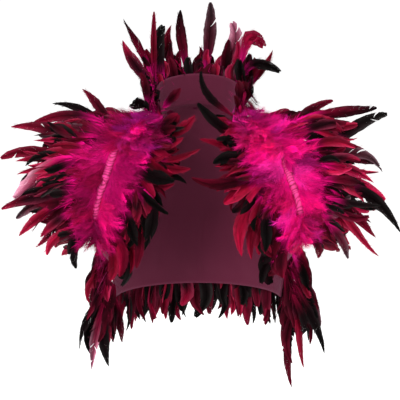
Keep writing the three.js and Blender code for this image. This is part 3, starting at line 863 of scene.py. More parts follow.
def wispPart(root, heading, flat, length, width, bend, dye):
    # a tapering hair of down: straight out along its heading, bent aside by the square of the way along
    spec = hairShape
    rows = (root, heading, flat, bend, np.clip(dye, 0, 1))
    root, heading, flat, bend, dye = (row.reshape(-1, 3) for row in rows)
    n = len(root)
    t = np.array([*spec["along"], 1.0])
    across = unit(np.cross(heading, flat))
    line = root[:, None] + heading[:, None] * (length.reshape(-1, 1) * t)[..., None]
    line = line + bend[:, None] * (t**2)[None, :, None]
    half = width.reshape(-1, 1) / 2 * np.array(spec["width"])
    left = line[:, :3] + across[:, None] * half[..., None]
    right = line[:, :3] - across[:, None] * half[..., None]
    first = (np.arange(n) * 7)[:, None]  # 7 points a hair
    # painted shade: darker at the root, lighter towards the point
    shade = np.array([*spec["shade"], *spec["shade"], spec["pointShade"]])
    cell = [[u, v] for v in (0.1, 0.9) for u in (0.1, 0.4, 0.75)] + [[0.95, 0.5]]
    return {
        "points": np.concatenate([left, right, line[:, 3:]], axis=1).reshape(-1, 3),
        "quads": np.concatenate([first + [0, 3, 4, 1], first + [1, 4, 5, 2]], axis=0),
        "tris": first + [2, 5, 6],
        "dye": np.clip(dye[:, None] * shade[None, :, None], 0, 1).reshape(-1, 3),
        "maps": {"vane": np.zeros((n * 7, 2))},
        "cell": np.tile(cell, (n, 1)),
        "number": np.repeat(np.arange(n), 7),
        "room": spec["room"],
        "material": 1,
    }


def layOut(parts):
    # one cell of the bake map for each feather, quill, hair or sheet, in bands from the bottom up
    weights = [part["room"] * (part["number"].max() + 1) for part in parts]
    low = 0.0
    for part, weight in zip(parts, weights):
        high = low + weight / sum(weights)
        count = part["number"].max() + 1
        columns = max(1, int(np.ceil(np.sqrt(count / (high - low)))))
        rows = int(np.ceil(count / columns))
        column, row = part["number"] % columns, part["number"] // columns
        inside = part["cell"] * 0.92 + 0.04
        u = (column + inside[:, 0]) / columns
        v = low + (high - low) * (row + inside[:, 1]) / rows
        part["maps"]["OFBake"] = np.stack([u, v], -1)
        low = high


def makeTrim(name, parts, node):
    # one piece of vanes and down, with its bake map laid out
    layOut(parts)
    makePiece(name, parts, ["plume", "down"], node)


# how far chance takes each feather from the next: one number is a spread, two are the least and the most
featherChance = {
    "shade": 0.22,
    "shadeWithin": (0.5, 1.6),
    "curl": 9.0,
    "sway": 5.0,
    "fullLimp": 110.0,
    "limpWithin": (0.25, 1.1),
    "twist": 0.4,
    "start": 0.2,
    "startWithin": (0.02, 0.6),
    "point": (0.45, 0.95),
    "cup": (0.05, 0.35),
    "uneven": 0.24,
    "stripe": (0, 0.7),
    "tipFrom": (0.3, 0.7),
}


def featherSet(root, tip, arch, facing, width, kinds, rng, start=0.36, rootDye="hot"):
    # gathers what the feather functions read, with small chance differences between feathers
    by = featherChance
    n = len(width)
    own = np.array([[*tones[kind]] for kind in kinds])
    shade = np.clip(1 + rng.normal(0, by["shade"], n), *by["shadeWithin"])[:, None]
    aside = unit(np.cross(unit(tip - root), unit(facing)))
    limp = np.linalg.norm(tip - root, axis=-1) / by["fullLimp"]  # short feathers keep straighter
    limp = np.clip(limp, *by["limpWithin"])
    return {
        "root": root,
        "tip": tip,
        "bend": (root + tip) / 2 + 2 * arch,
        "facing": unit(facing),
        "width": width,
        "curl": unit(facing) * (limp * rng.normal(0, by["curl"], n))[:, None],
        "sway": aside * (limp * rng.normal(0, by["sway"], n))[:, None],
        "twist": rng.normal(0, by["twist"], n),
        "start": np.clip(start + rng.normal(0, by["start"] * start, n), *by["startWithin"]),
        "point": rng.uniform(*by["point"], n),
        "cup": rng.uniform(*by["cup"], n),
        "fray": np.array([vaneShape["split"].get(kind, vaneShape["usualSplit"]) for kind in kinds]),
        "uneven": rng.normal(0, by["uneven"], n),
        "stripe": rng.uniform(*by["stripe"], n),
        "tipFrom": rng.uniform(*by["tipFrom"], n),
        "rootDye": dyes[rootDye] * shade,
        "midDye": own[:, 0] * shade,
        "tipDye": own[:, 1] * shade,
        "rimDye": own[:, 2] * shade,
    }


# hairs that leave the shaft: span in shares of the bare root's length, opening from the shaft in radians
barbKinds = {
    "loose": {
        "reach": (9, 20), "span": (0.25, 1.25), "lift": (0.1, 0.3), "width": (0.35, 0.8),
        "opening": (0.35, 1.15), "stray": 0.22, "sag": 0.2,
    },
    "hanging": {
        "reach": (9, 20), "span": (0.25, 1.25), "lift": (0.25, 0.15), "width": (0.35, 0.8),
        "opening": (0.35, 1.15), "stray": 0.14, "sag": 0.0,
    },
    "down": {
        "reach": (9, 19), "span": (1, 21), "lift": (0.1, 0.1), "width": (0.18, 0.36),
        "opening": (0.15, 0.95), "stray": 0.22, "sag": 0.06,
    },
}


def looseBarbs(f, each, rng, kind="loose"):
    # hairs on both sides of the shaft, shorter and closer to it towards the tip
    by = barbKinds[kind]
    shape = (len(f["width"]), each)
    s = np.clip(f["start"][:, None] * rng.uniform(*by["span"], shape), 0, 1)
    point, along, across, out = spineFrame(f, s)
    side = np.where(rng.random(shape) < 0.5, -1.0, 1.0)[..., None]
    opened = (rng.uniform(*by["opening"], shape) * (1 - 0.6 * s))[..., None]
    rise = rng.normal(*by["lift"], shape)[..., None]
    heading = unit(along * np.cos(opened) + across * side * np.sin(opened) + out * rise)
    length = rng.uniform(*by["reach"], shape) * (1 - 0.45 * s)
    bend = along * 0.3 - out * by["sag"] + rng.normal(0, by["stray"], along.shape)
    bend = bend * length[..., None]
    mix = rng.uniform(0, 0.8, shape)[..., None]
    dye = f["rootDye"][:, None] * (1 - mix) + f["midDye"][:, None] * mix
    dye = dye * (1 + rng.normal(0, 0.12, (*shape, 1)))
    flat = f["facing"][:, None] + rng.normal(0, by["stray"], heading.shape)
    return wispPart(point, heading, flat, length, rng.uniform(*by["width"], shape), bend, dye)


marginShape = {
    "opening": (0.35, 0.75), "lift": 0.15, "past": (2, 6), "stray": 0.12, "turn": 0.3, "width": (0.25, 0.55),
}


def marginHairs(f, each, rng):
    # fine barbs that stand out past the margin, slanted as the vane's own barbs are
    by = marginShape
    shape = (len(f["width"]), each)
    s = f["start"][:, None] + (0.95 - f["start"][:, None]) * rng.random(shape)
    point, along, across, out = spineFrame(f, s)
    half = vaneWidth(f, s)
    side = np.where(rng.random(shape) < 0.5, -1.0, 1.0)
    opened = rng.uniform(*by["opening"], shape)[..., None]
    heading = along * np.cos(opened) + across * side[..., None] * np.sin(opened)
    heading = unit(heading + out * rng.normal(0, by["lift"], shape)[..., None])
    sunk = f["cup"][:, None] * half * 0.45
    root = point + across * (side * half * 0.6)[..., None] - out * sunk[..., None]
    length = half * 0.5 + rng.uniform(*by["past"], shape)
    bend = (along * 0.25 + rng.normal(0, by["stray"], along.shape)) * length[..., None]
    flat = f["facing"][:, None] + rng.normal(0, by["turn"], heading.shape)
    width = rng.uniform(*by["width"], shape)
    return wispPart(root, heading, flat, length, width, bend, vaneDyeAndLight(f, s, side * 0.9))


def scattered(rng, count):
    # even shares of the way, each moved by chance within its own stretch
    return (np.arange(count) + rng.random(count)) / count


def chooseKinds(rng, count, odds):
    # kinds of feather drawn by their odds
    share = np.array([*odds.values()], float)
    return list(rng.choice(list(odds), count, p=share / share.sum()))


def dim(f, amount):
    # the vane's colours times an amount
    for key in ("midDye", "tipDye", "rimDye"):
        f[key] = f[key] * amount


# down

dyeDrift = {"pitch": (40, 90), "swell": 0.9, "light": 0.22}


def dyeWaves(rng, count):
    # slow waves over x and z, a sum of three sines for each dye
    turn, phase = rng.uniform(0, 2 * np.pi, (2, count, 3))
    pitch = rng.uniform(*dyeDrift["pitch"], (count, 3))

    def at(point):
        run = point[..., 0, None, None] * np.cos(turn) + point[..., 2, None, None] * np.sin(turn)
        return np.sin(2 * np.pi * run / pitch + phase).sum(-1)

    return at


def blendDyes(names, odds, waves):
    # the odds swell and fade with the waves, and the strongest dye gives most of the colour; the last
    # wave lightens and darkens it
    weight = (odds * np.exp(dyeDrift["swell"] * waves[..., :-1])) ** 2
    weight = weight / weight.sum(-1, keepdims=True)
    return weight @ np.array([dyes[name] for name in names]) * np.exp(dyeDrift["light"] * waves[..., -1:])


def oddsBetween(low, high, weight):
    # rows of odds for the dyes named in both tables, from the low one to the high one
    names = list(low)
    first = np.array([low[name] for name in names], float)
    last = np.array([high[name] for name in names], float)
    return names, first + (last - first) * np.asarray(weight)[..., None]


def downDye(low, high, rng):
    # the dye at each place, from the low odds to the high ones with its share of the way
    waves = dyeWaves(rng, len(low) + 1)
    return lambda place, share, point: blendDyes(*oddsBetween(low, high, share), waves(point))


plumule = {
    "size": (24, 42),
    "pull": (0, 0, -0.1),
    "width": (7, 12),
    "spread": 0.35,
    "rise": (-0.02, 0.18),
    "stack": (0.8, 1.1),
    "arch": (1, 4),
    "bareRoot": 0.045,
    "tone": (0.7, 1.2),
    "tones": {"rootDye": 0.7, "rimDye": 0.95, "tipDye": 0.9},
    "calmer": {"stripe": 0.2, "uneven": 0.3, "curl": 0.4, "twist": 0.3},
}


def plumules(surface, turn, u, reach, count, rng, thick, dyeAt, size=plumule["size"], pull=plumule["pull"]):
    # short downy feathers shingled over a surface: the far ones lie lowest, the near ones over them
    by = plumule
    cu = rng.permutation(scattered(rng, count)) * (u[1] - u[0]) + u[0]
    share = scattered(rng, count)
    far, near = reach(cu)
    cv = far + (near - far) * share
    point, normal = surface(cu, cv), normalOf(surface, cu, cv, turn)
    alongV = unit(surface(cu, cv + 0.02) - surface(cu, cv - 0.02))
    alongU = unit(np.cross(normal, alongV))
    spread = rng.normal(0, by["spread"], count)[:, None]
    heading = alongV * np.cos(spread) + alongU * np.sin(spread) + np.array(pull)
    inwards = np.minimum((heading * normal).sum(-1, keepdims=True), 0)
    heading = unit(heading + normal * (rng.uniform(*by["rise"], count)[:, None] - inwards))
    root = point + normal * (thick(share) * rng.uniform(*by["stack"], count))[:, None]
    tip = root + heading * rng.uniform(*size, count)[:, None]
    arch = normal * rng.uniform(*by["arch"], count)[:, None]
    width = rng.uniform(*by["width"], count)
    f = featherSet(root, tip, arch, normal, width, ["red"] * count, rng, by["bareRoot"])
    f["midDye"] = dyeAt(cu, share, (root + tip) / 2) * rng.uniform(*by["tone"], count)[:, None]
    for key, amount in by["tones"].items():
        f[key] = f["midDye"] * amount
    for key, amount in by["calmer"].items():
        f[key] = f[key] * amount
    return f


def someOf(f, share, rng):
    # a chance share of a set of feathers
    pick = rng.random(len(f["width"])) < share
    pick[0] = True
    return {key: value[pick] for key, value in f.items()}


fluff = {
    "hairs": 110, "vaned": 0.3, "split": 0.3, "strips": 8, "quilled": 0.14, "quillSteps": 4, "quillLift": 1.6,
}


def fluffParts(f, rng, hairs=fluff["hairs"]):
    # fine hairs all along the shaft, combed towards its tip; some have a soft vane, some a bare pale quill
    vaned, quilled = someOf(f, fluff["vaned"], rng), someOf(f, fluff["quilled"], rng)
    vaned["fray"] = vaned["fray"] * 0 + fluff["split"]
    core = vanePart(vaned, fluff["strips"], rng)
    for key in ("root", "tip"):
        quilled[key] = quilled[key] + quilled["facing"] * fluff["quillLift"]
    quilled["bend"] = (quilled["root"] + quilled["tip"]) / 2 + quilled["facing"]
    for key in ("curl", "sway"):
        quilled[key] = quilled[key] * 0
    for key in ("rootDye", "midDye", "tipDye", "rimDye"):
        quilled[key] = quilled[key] * 0.4 + dyes["quill"] * 0.6
    quills = shaftPart(quilled, fluff["quillSteps"])
    core["material"] = quills["material"] = 1
    return [looseBarbs(f, hairs, rng, "down"), core, quills]


underlay = {
    "wave": 0.08,  # of the far edge
    "sinks": (0.3, 0.9),
    "lumps": (0.75, 1.1),
    "height": 0.55,
    "thins": 0.35,
    "foot": 0.4,
    # painted shade: darker towards the far edge, where the mat sinks under the vanes
    "fades": (0.25, 0.8),
    "faded": 0.85,
    # painted shade all over the mat under the down, lumpy by chance
    "tone": (0.6, 0.9),
    "room": 60.0,
}


def underlayPart(surface, turn, u, far, thick, grid, rng, dyeAt, sink=0.0):
    # a thin closed mat under the down, lumpy, with a wavy far edge that sinks below the vanes
    by = underlay
    nu, nv = grid
    wave = 1 + by["wave"] * np.sin(np.cumsum(rng.normal(0, 1, nu + 1)))[:, None]
    gu, gv = np.meshgrid(np.linspace(*u, nu + 1), np.linspace(0, 1, nv + 1), indexing="ij")
    place = far(gu) * gv * wave
    base, normal = surface(gu, place), normalOf(surface, gu, place, turn)
    base = base - normal * (sink * smoothstep(gv, *by["sinks"]))[..., None]
    lumps = rng.uniform(*by["lumps"], gu.shape)
    outer = base + normal * (thick(gv) * (by["height"] - by["thins"] * gv) * lumps)[..., None]
    part = facingOut(wallPart(outer, base + normal * by["foot"]))
    # painted shade under the vanes, deeper towards the far edge, and lumpy painted shade all over
    vaneShadow = 1 - by["faded"] * smoothstep(gv, *by["fades"])
    shade = dyeAt(gu, 1 - gv, base) * (vaneShadow * rng.uniform(*by["tone"], gu.shape))[..., None]
    cell = np.stack([gu.ravel(), gv.ravel() * 0.48], -1)  # half the cell for each face
    cell[:, 0] = (cell[:, 0] - cell[:, 0].min()) / np.ptp(cell[:, 0])
    part.update({
        # the under face is painted darker still, as shade
        "dye": np.vstack([shade.reshape(-1, 3), shade.reshape(-1, 3) * 0.8]),
        "maps": {"vane": np.zeros((2 * gu.size, 2))},
        "cell": np.vstack([cell, cell + [0, 0.5]]),
        "number": np.zeros(2 * gu.size, int),
        "room": by["room"],
        "material": 1,
    })
    return part


def partsOf(maker, sets, detail, *rng):
    # one part for each set of feathers that has a count of this detail
    return [maker(f, counts[detail], *rng) for f, counts in sets if detail in counts]


# shoulder trims

# far edge of the dense part, outwards or inwards: place along the trim, then outwards x, y, z
fanEdges = {
    1: smoothTable([
        (0, 116, 3, -6),
        (0.1, 160, -10, 2),
        (0.22, 198, -28, -4),
        (0.38, 234, -50, -38),
        (0.53, 248, -66, -92),
        (0.68, 246, -70, -134),
        (0.83, 212, -64, -170),
        (1, 162, -46, -184),
    ]),
    -1: smoothTable([
        (0.1, 50, -62, 4),
        (0.25, 40, -84, -26),
        (0.4, 36, -96, -62),
        (0.5, 44, -104, -92),
        (0.6, 62, -108, -126),
        (0.7, 80, -106, -156),
        (0.85, 106, -96, -190),
        (1, 130, -74, -210),
    ]),
}

# long feathers: place along the trim, tip x (outwards) and z, arch, lean of the tip, width, kind
shoulderTrims = {
    "outerFeathersLeft": {
        "node": "outer_feathers_left", "side": -1, "outward": 1, "seed": 11, "tone": 1.12,
        "long": [
            (0.18, 182, 45, -12, 30, 15, "dark"),
            (0.24, 228, 24, 4, 30, 13, "black"),
            (0.28, 259, -5, 20, 20, 17, "ember"),
            (0.34, 292, -11, 4, 26, 19, "ember"),
            (0.40, 308, -58, 1, 18, 20, "red"),
            (0.46, 268, -65, 6, 4, 18, "black"),
            (0.52, 286, -116, 28, 2, 33, "pale"),
            (0.59, 306, -131, -4, 2, 19, "ember"),
            (0.65, 284, -150, 8, 18, 18, "grey"),
            (0.70, 281, -175, 12, 2, 16, "red"),
            (0.75, 256, -196, 8, 18, 16, "ember"),
            (0.80, 236, -205, 6, 2, 16, "red"),
            (0.85, 205, -208, 8, 16, 15, "black"),
            (0.90, 192, -230, 12, 6, 12, "black"),
        ],
    },
    "outerFeathersRight": {
        "node": "outer_feathers_right", "side": 1, "outward": 1, "seed": 12, "tone": 1.12,
        "long": [
            (0.19, 212, 26, -6, 30, 15, "dark"),
            (0.26, 282, 16, 8, 28, 19, "dusk"),
            (0.31, 248, -4, 4, 10, 17, "red"),
            (0.37, 292, 10, -14, 24, 20, "black"),
            (0.44, 290, -76, 16, 14, 18, "grey"),
            (0.50, 270, -92, 14, 2, 20, "crim"),
            (0.55, 292, -122, 12, 18, 22, "crim"),
            (0.61, 317, -170, 28, 6, 23, "black"),
            (0.67, 280, -182, 16, 20, 18, "red"),
            (0.72, 284, -208, 14, 4, 13, "red"),
            (0.77, 240, -200, 8, 18, 16, "red"),
            (0.82, 234, -213, 18, 4, 18, "grey"),
            (0.88, 190, -216, 6, 14, 14, "dark"),
        ],
    },
    "innerFeathersLeft": {
        "node": "inner_feathers_left", "side": -1, "outward": -1, "seed": 13, "tone": 0.76,
        "long": [
            (0.14, 3, 19, -14, -30, 18, "red"),
            (0.30, 22, -14, -6, -26, 17, "red"),
            (0.42, -6, -29, -14, -34, 12, "red"),
            (0.48, 12, -61, 4, -18, 18, "red"),
            (0.53, 35, -76, 6, -36, 23, "black"),
            (0.60, 82, -186, 42, -28, 21, "black"),
            (0.66, 96, -219, 28, -14, 19, "dark"),
            (0.72, 92, -176, 16, -34, 20, "black"),
            (0.79, 122, -230, 14, -18, 20, "crim"),
            (0.87, 137, -236, 10, -22, 18, "red"),
        ],
    },
    "innerFeathersRight": {
        "node": "inner_feathers_right", "side": 1, "outward": -1, "seed": 14, "tone": 0.9,
        "long": [
            (0.13, 5, 86, -10, -26, 12, "black"),
            (0.20, 3, 38, -14, -34, 16, "black"),
            (0.34, 3, -20, -6, -14, 12, "red"),
            (0.42, 21, -53, 4, -34, 21, "black"),
            (0.49, -10, -69, -14, -48, 18, "dark"),
            (0.55, 68, -198, 24, -28, 22, "red"),
            (0.60, 84, -207, 18, -12, 20, "red"),
            (0.66, 102, -188, 18, -34, 18, "black"),
            (0.75, 117, -196, 10, -16, 15, "dark"),
            (0.85, 133, -230, 8, -24, 18, "dark"),
        ],
    },
}
# what the outer fans (1) and the inner ones (-1) have of their own
shoulderFans = {
    1: {
        "first": 0.01,  # place along the trim where it starts
        "kinds": {
            "red": 4, "crim": 2.4, "dark": 3, "dusk": 3, "ember": 4, "black": 3.4, "grey": 1.3, "pale": 1.1,
        },
        "count": {"middle": 62, "under": 80, "slips": 14},
        "reach": {"middle": (0.95, 1.42), "under": (0.82, 1.14), "slips": (0.45, 0.8)},
        "fluffCount": 134,
        # how far the down reaches from the binding, by the place along it
        "fluffFar": smoothTable([(0, 0.06), (0.15, 0.2), (0.4, 0.17), (0.6, 0.13), (0.75, 0.1), (1, 0.0)]),
        "fluffEdge": {"hot": 2, "pink": 0.2, "magenta": 2, "violet": 1, "crimson": 5, "wine": 5},
    },
    -1: {
        "first": 0.11,
        "kinds": {"red": 3, "crim": 1.6, "dark": 2, "dusk": 2, "ember": 3, "black": 6},
        "count": {"middle": 30, "under": 44, "slips": 9},
        "reach": {"middle": (0.8, 1.15), "under": (0.82, 1.14), "slips": (0.45, 0.8)},
        "fluffCount": 110,
        "fluffFar": smoothTable([(0, 0.2), (0.28, 0.38), (0.42, 0.25), (0.55, 0.18), (0.75, 0.13), (1, 0.0)]),
        "fluffEdge": {"hot": 3, "pink": 0.8, "magenta": 3.5, "violet": 1.5, "crimson": 3.5, "wine": 3},
    },
}
# what the left side (-1) and the right (1) have: the down's dyes are odds, high and low on the front
shoulderSides = {
    -1: {
        "bindingShows": (0.35, 0.80),
        "fluffTint": 0.82,
        "topLift": 0.7,
        "fluffTop": {"hot": 2, "pink": 1, "magenta": 4, "violet": 3.5, "crimson": 1, "wine": 0.4},
        "fluffLow": {"hot": 5, "pink": 0.6, "magenta": 2.5, "violet": 0.8, "crimson": 4, "wine": 1.5},
    },
    1: {
        "bindingShows": (0.40, 0.76),
        "fluffTint": 1.14,
        "topLift": 0.25,
        "fluffTop": {"hot": 2.5, "pink": 2, "magenta": 3, "violet": 2.5, "crimson": 1.5, "wine": 1},
        "fluffLow": {"hot": 6, "pink": 2, "magenta": 2.5, "violet": 0.8, "crimson": 2, "wine": 1},
    },
}
shoulder = {
    "channel": 6.5,  # from the binding's middle to the roots
    "last": 0.97,
    "fanRoot": 10.0,
    "fanTip": 4.0,
    "camber": 12.0,
    "shortest": 60.0,
    "calmTop": {"least": 0.2, "over": (0.15, 0.4)},  # the shoulder's top is smooth
    "hang": {"from": (0.45, 0.72), "lower": 0.17, "arch": 13.0},  # inner feathers droop low on the front
    # feathers between the long ones; slips are dark and lie over the down
    "layers": {
        "middle": {"height": (3, 7), "lean": (-6, 14), "width": (11, 17), "beside": (0, 10), "root": "hot"},
        "under": {"height": (1, 3), "lean": (0, 16), "width": (15, 24), "beside": (0, 10), "root": "hot"},
        "slips": {"height": (9, 12), "lean": (-10, 2), "width": (7, 11), "beside": (8, 34), "root": "wine"},
    },
    "slipKinds": {"black": 3, "dark": 3, "dusk": 2},
    # strips of barbs a side, steps of the shaft, loose barbs and margin hairs of each feather
    "detail": {
        "long": {"strips": 22, "steps": 10, "barbs": 22, "hairs": 60},
        "middle": {"strips": 14, "steps": 7, "barbs": 12, "hairs": 32},
        "under": {"strips": 11},
        "slips": {"strips": 12, "steps": 6, "hairs": 40},
    },
    "mat": {"grid": (60, 12), "past": 0.3, "sink": 10.0},
    # down over the binding's two ends
    "cover": {"height": 14.0, "reach": (0.02, -0.14), "high": 32, "low": 15},
    # down on the cloth above the outer fans, by the front's rows
    "yoke": {
        "rows": (0.0, 1.1), "reach": (0.5, -0.05), "count": 44,
        "matFar": 0.5, "matHeight": 22, "grid": (16, 10),
    },
}


def archOf(root, tip, level, bow):
    # square to the reach as seen from the front, on its upper side
    a = np.arctan2(tip[:, 2] - root[:, 2], level * (tip[:, 0] - root[:, 0]))
    return vec(-level * bow * np.sin(a), 0, bow * np.cos(a))


def makeShoulderTrim(name):
    # long feathers, each in its own place, others between them, and down over their roots
    spec, shape = shoulderTrims[name], shoulder
    rng = np.random.default_rng(spec["seed"])
    side, outward = spec["side"], spec["outward"]
    level, mirror = side * outward, np.array([side, 1, 1])
    edgeAt, fan, flank = fanEdges[outward], shoulderFans[outward], shoulderSides[side]
    first, last = fan["first"], shape["last"]
    shown, hidden = flank["bindingShows"]

    def fanPoint(at, out):
        # a straight line from beside the binding to the far edge, bellied forwards between them
        at, out = np.broadcast_arrays(np.asarray(at, float), out)
        point, normal = besideTrim(side, at, np.full_like(at, outward * shape["channel"]))
        root = point + normal * cloth["pileGap"]
        belly = vec(0, -shape["camber"] * 4 * out * (1 - out), 0)
        return root + (edgeAt(at) * mirror - root) * out[..., None] + belly

    at, tipX, tipZ, bow, lean, width = np.array([row[:6] for row in spec["long"]], float).T
    point, normal = besideTrim(side, at, np.full_like(at, outward * (shape["channel"] + 5)))
    root = point + normal * (cloth["pileGap"] + shape["fanRoot"] * 0.7)
    tip = vec(side * tipX, root[:, 1] + lean, tipZ)
    facing = vec(0, -1, 0.15) + rng.normal(0, 0.22, tip.shape)
    kinds = [row[6] for row in spec["long"]]
    longSet = featherSet(root, tip, archOf(root, tip, level, bow), facing, width, kinds, rng, 0.24)
    longSet["curl"] *= 0.6
    longSet["rootDye"][at < 0.25] = dyes["wine"]

    def fill(key):
        # from beside the binding to past the dense edge, moved a little by chance
        layer, count = shape["layers"][key], fan["count"][key]
        at = scattered(rng, count) * (last - first) + first
        beside = shape["channel"] + rng.uniform(*layer["beside"], count)
        point, normal = besideTrim(side, at, outward * beside)
        root = point + normal * (cloth["pileGap"] + rng.uniform(*layer["height"], count))[:, None]
        hang = smoothstep(at, *shape["hang"]["from"]) * (outward < 0)
        goal = at + rng.normal(0, 0.03, count) + shape["hang"]["lower"] * hang
        way = edgeAt(np.clip(goal, first, 1)) * mirror - root
        size = np.linalg.norm(way, axis=-1) * rng.uniform(*fan["reach"][key], count)
        tip = root + unit(way) * np.maximum(size, shape["shortest"])[:, None]
        least = shape["calmTop"]["least"]
        calm = least + (1 - least) * smoothstep(at, *shape["calmTop"]["over"])
        aside, lean = rng.normal(0, 6, count), rng.uniform(*layer["lean"], count)
        tip = tip + vec(aside, lean, rng.normal(0, 11, count) * calm)
        facing = vec(0, -1, 0.15) + rng.normal(0, 0.3, (count, 3))
        kinds = chooseKinds(rng, count, shape["slipKinds"] if key == "slips" else fan["kinds"])
        bow = rng.normal(3.5, 7, count) * calm + shape["hang"]["arch"] * hang
        arch = archOf(root, tip, level, bow) + vec(0, -rng.uniform(0, 9, count), 0)
        width = rng.uniform(*layer["width"], count)
        return featherSet(root, tip, arch, facing, width, kinds, rng, 0.25, layer["root"])

    sets = {"long": longSet, **{key: fill(key) for key in shape["layers"]}}
    for key in ("long", "middle", "under"):
        f = sets[key]
        dim(f, spec["tone"])
        if outward < 0:
            f["rimDye"] = f["rimDye"] * 0.35 + f["tipDye"] * 0.5

    edgeOdds = fan["fluffEdge"]
    waves = dyeWaves(rng, len(edgeOdds) + 1)

    def dyeAt(at, share, point):
        # by the place along the binding, then redder towards the far edge
        names, odds = oddsBetween(flank["fluffTop"], flank["fluffLow"], smoothstep(at, 0.25, 0.45))
        edge = np.array([edgeOdds[name] for name in names])
        odds = odds + (edge - odds) * (1 - share)[..., None]
        lift = 1 + flank["topLift"] * (1 - smoothstep(at, 0.2, 0.4))[..., None]
        return blendDyes(names, odds, waves(point)) * flank["fluffTint"] * lift

    def fluffFar(at):
        # the down's far edge, as a share of the fan
        return fan["fluffFar"](at)[..., 0]

    def matFar(at):
        # the mat reaches past the down
        return fluffFar(at) + shape["mat"]["past"]

    def fluffReach(at):
        # clear of the binding where it shows
        begins = smoothstep(at, shown - 0.02, shown + 0.03)
        shows = begins * (1 - smoothstep(at, hidden - 0.02, hidden + 0.04))
        return fluffFar(at), -0.05 + 0.08 * shows

    def shingle(share):
        # the far down lies lowest, the down beside the binding over it
        return 2.5 + 5.5 * smoothstep(share, 0, 0.8)

    def matThick(share):
        # thinner towards the far edge
        return shape["fanRoot"] + (shape["fanTip"] - shape["fanRoot"]) * share

    span, cover = (first + 0.02, 0.9), shape["cover"]
    over = always(cover["height"])
    beside = plumules(fanPoint, level, span, fluffReach, fan["fluffCount"], rng, shingle, dyeAt)
    ends = [
        plumules(fanPoint, level, span, always(cover["reach"]), cover[key], rng, over, dyeAt)
        for key, span in (("high", (first, shown)), ("low", (hidden, 0.98)))
    ]
    extra = []
    if outward > 0:
        yoke, yokePoint = shape["yoke"], partial(frontPoint, side)

        def yokeDye(row, share, point):
            # as at the top of the binding, half as far to the edge's dyes
            return dyeAt(0 * row, 0.5 + 0.5 * share, point)

        f = plumules(yokePoint, side, yoke["rows"], always(yoke["reach"]), yoke["count"], rng, over, yokeDye)
        far, thick = always(yoke["matFar"]), always(yoke["matHeight"])
        mat = underlayPart(yokePoint, side, yoke["rows"], far, thick, yoke["grid"], rng, yokeDye)
        extra = [mat, *fluffParts(f, rng)]
    mat, detailed = shape["mat"], [(f, shape["detail"][key]) for key, f in sets.items()]
    parts = [
        *partsOf(vanePart, detailed, "strips", rng),
        *partsOf(shaftPart, detailed, "steps"),
        underlayPart(fanPoint, level, (first, last), matFar, matThick, mat["grid"], rng, dyeAt, mat["sink"]),
        *partsOf(looseBarbs, detailed, "barbs", rng),
        *[part for f in (beside, *ends) for part in fluffParts(f, rng)],
        *extra,
        *partsOf(marginHairs, detailed, "hairs", rng),
    ]
    makeTrim(name, parts, spec["node"])


for trimName in shoulderTrims:
    makeShoulderTrim(trimName)

# collar

# far edge of the dense part: degrees round from the back, then x, y, z
collarEdge = smoothTable([
    (-112, -60, -42, 44),
    (-90, -81, -6, 86),
    (-60, -75, 44, 106),
    (-30, -44, 78, 102),
    (0, 0, 87, 96),
    (30, 44, 80, 102),
    (60, 75, 48, 104),
    (90, 76, -6, 80),
    (112, 58, -44, 48),
])
# long feathers: degrees round from the back, place up the band, tip x, y and z, arch outwards, width, kind,
# arch upwards
collarTrim = {
    "seed": 21,
    "long": [
        (-106, 0.5, -25, -56, 57, 2, 15, "dark", 0),
        (-108, 0.7, -101, -40, 30, 0, 20, "black", 6),
        (-101, 0.6, -86, -34, 24, 4, 22, "black", 2),
        (-90, 0.5, -117, -14, 124, -6, 19, "ember", 0),
        (-80, 0.7, -118, 16, 155, -10, 20, "dusk", 0),
        (-70, 0.6, -70, 30, 164, 4, 11, "red", 0),
        (-56, 0.5, -57, 52, 138, 8, 26, "black", 0),
        (-36, 0.6, -44, 84, 136, 6, 17, "red", 0),
        (-14, 0.6, -28, 92, 157, 6, 18, "dusk", 0),
        (10, 0.6, 20, 94, 170, 6, 21, "grey", 0),
        (32, 0.6, 55, 84, 138, 6, 25, "pale", 0),
        (52, 0.4, 104, 62, 104, -2, 27, "crim", 46),
        (66, 0.5, 118, 44, 100, 6, 12, "red", 0),
        (80, 0.4, 126, 20, 68, -14, 18, "black", 38),
        (92, 0.5, 66, -8, 92, 4, 22, "black", 0),
        (106, 0.4, 62, -44, 66, 4, 18, "dark", 0),
    ],
    "blunt": ("black", "crim", "pale"),
    "longTone": 0.85,
    "kinds": {"red": 3, "crim": 1, "dark": 4, "dusk": 3, "black": 3, "grey": 0.7},
    "layers": [
        {"count": 46, "reach": (0.7, 1.05), "width": (12, 19), "bareRoot": 0.26, "height": (2, 8)},
        {"count": 54, "reach": (0.45, 0.75), "width": (15, 22), "bareRoot": 0.2, "height": (0.5, 3)},
    ],
    "detail": [
        {"strips": 20, "steps": 9, "barbs": 14, "hairs": 60},
        {"strips": 13, "steps": 6, "barbs": 10, "hairs": 34},
        {"strips": 10},
    ],
    "fluffOdds": {"magenta": 1, "crimson": 2, "wine": 5},
    # down all round, then down that falls at the right end: degrees, reach up the band, count, size, pull
    # and hairs
    "fluff": [
        ((-110, 110), (0.4, -0.02), 90, (22, 36), (0, 0, 0), 40),
        ((70, 106), (0.5, 0.1), 18, (22, 34), (0.7, -0.2, -2.0), 70),
    ],
    "mat": {"span": (-111, 111), "far": 0.5, "grid": (80, 10)},
}


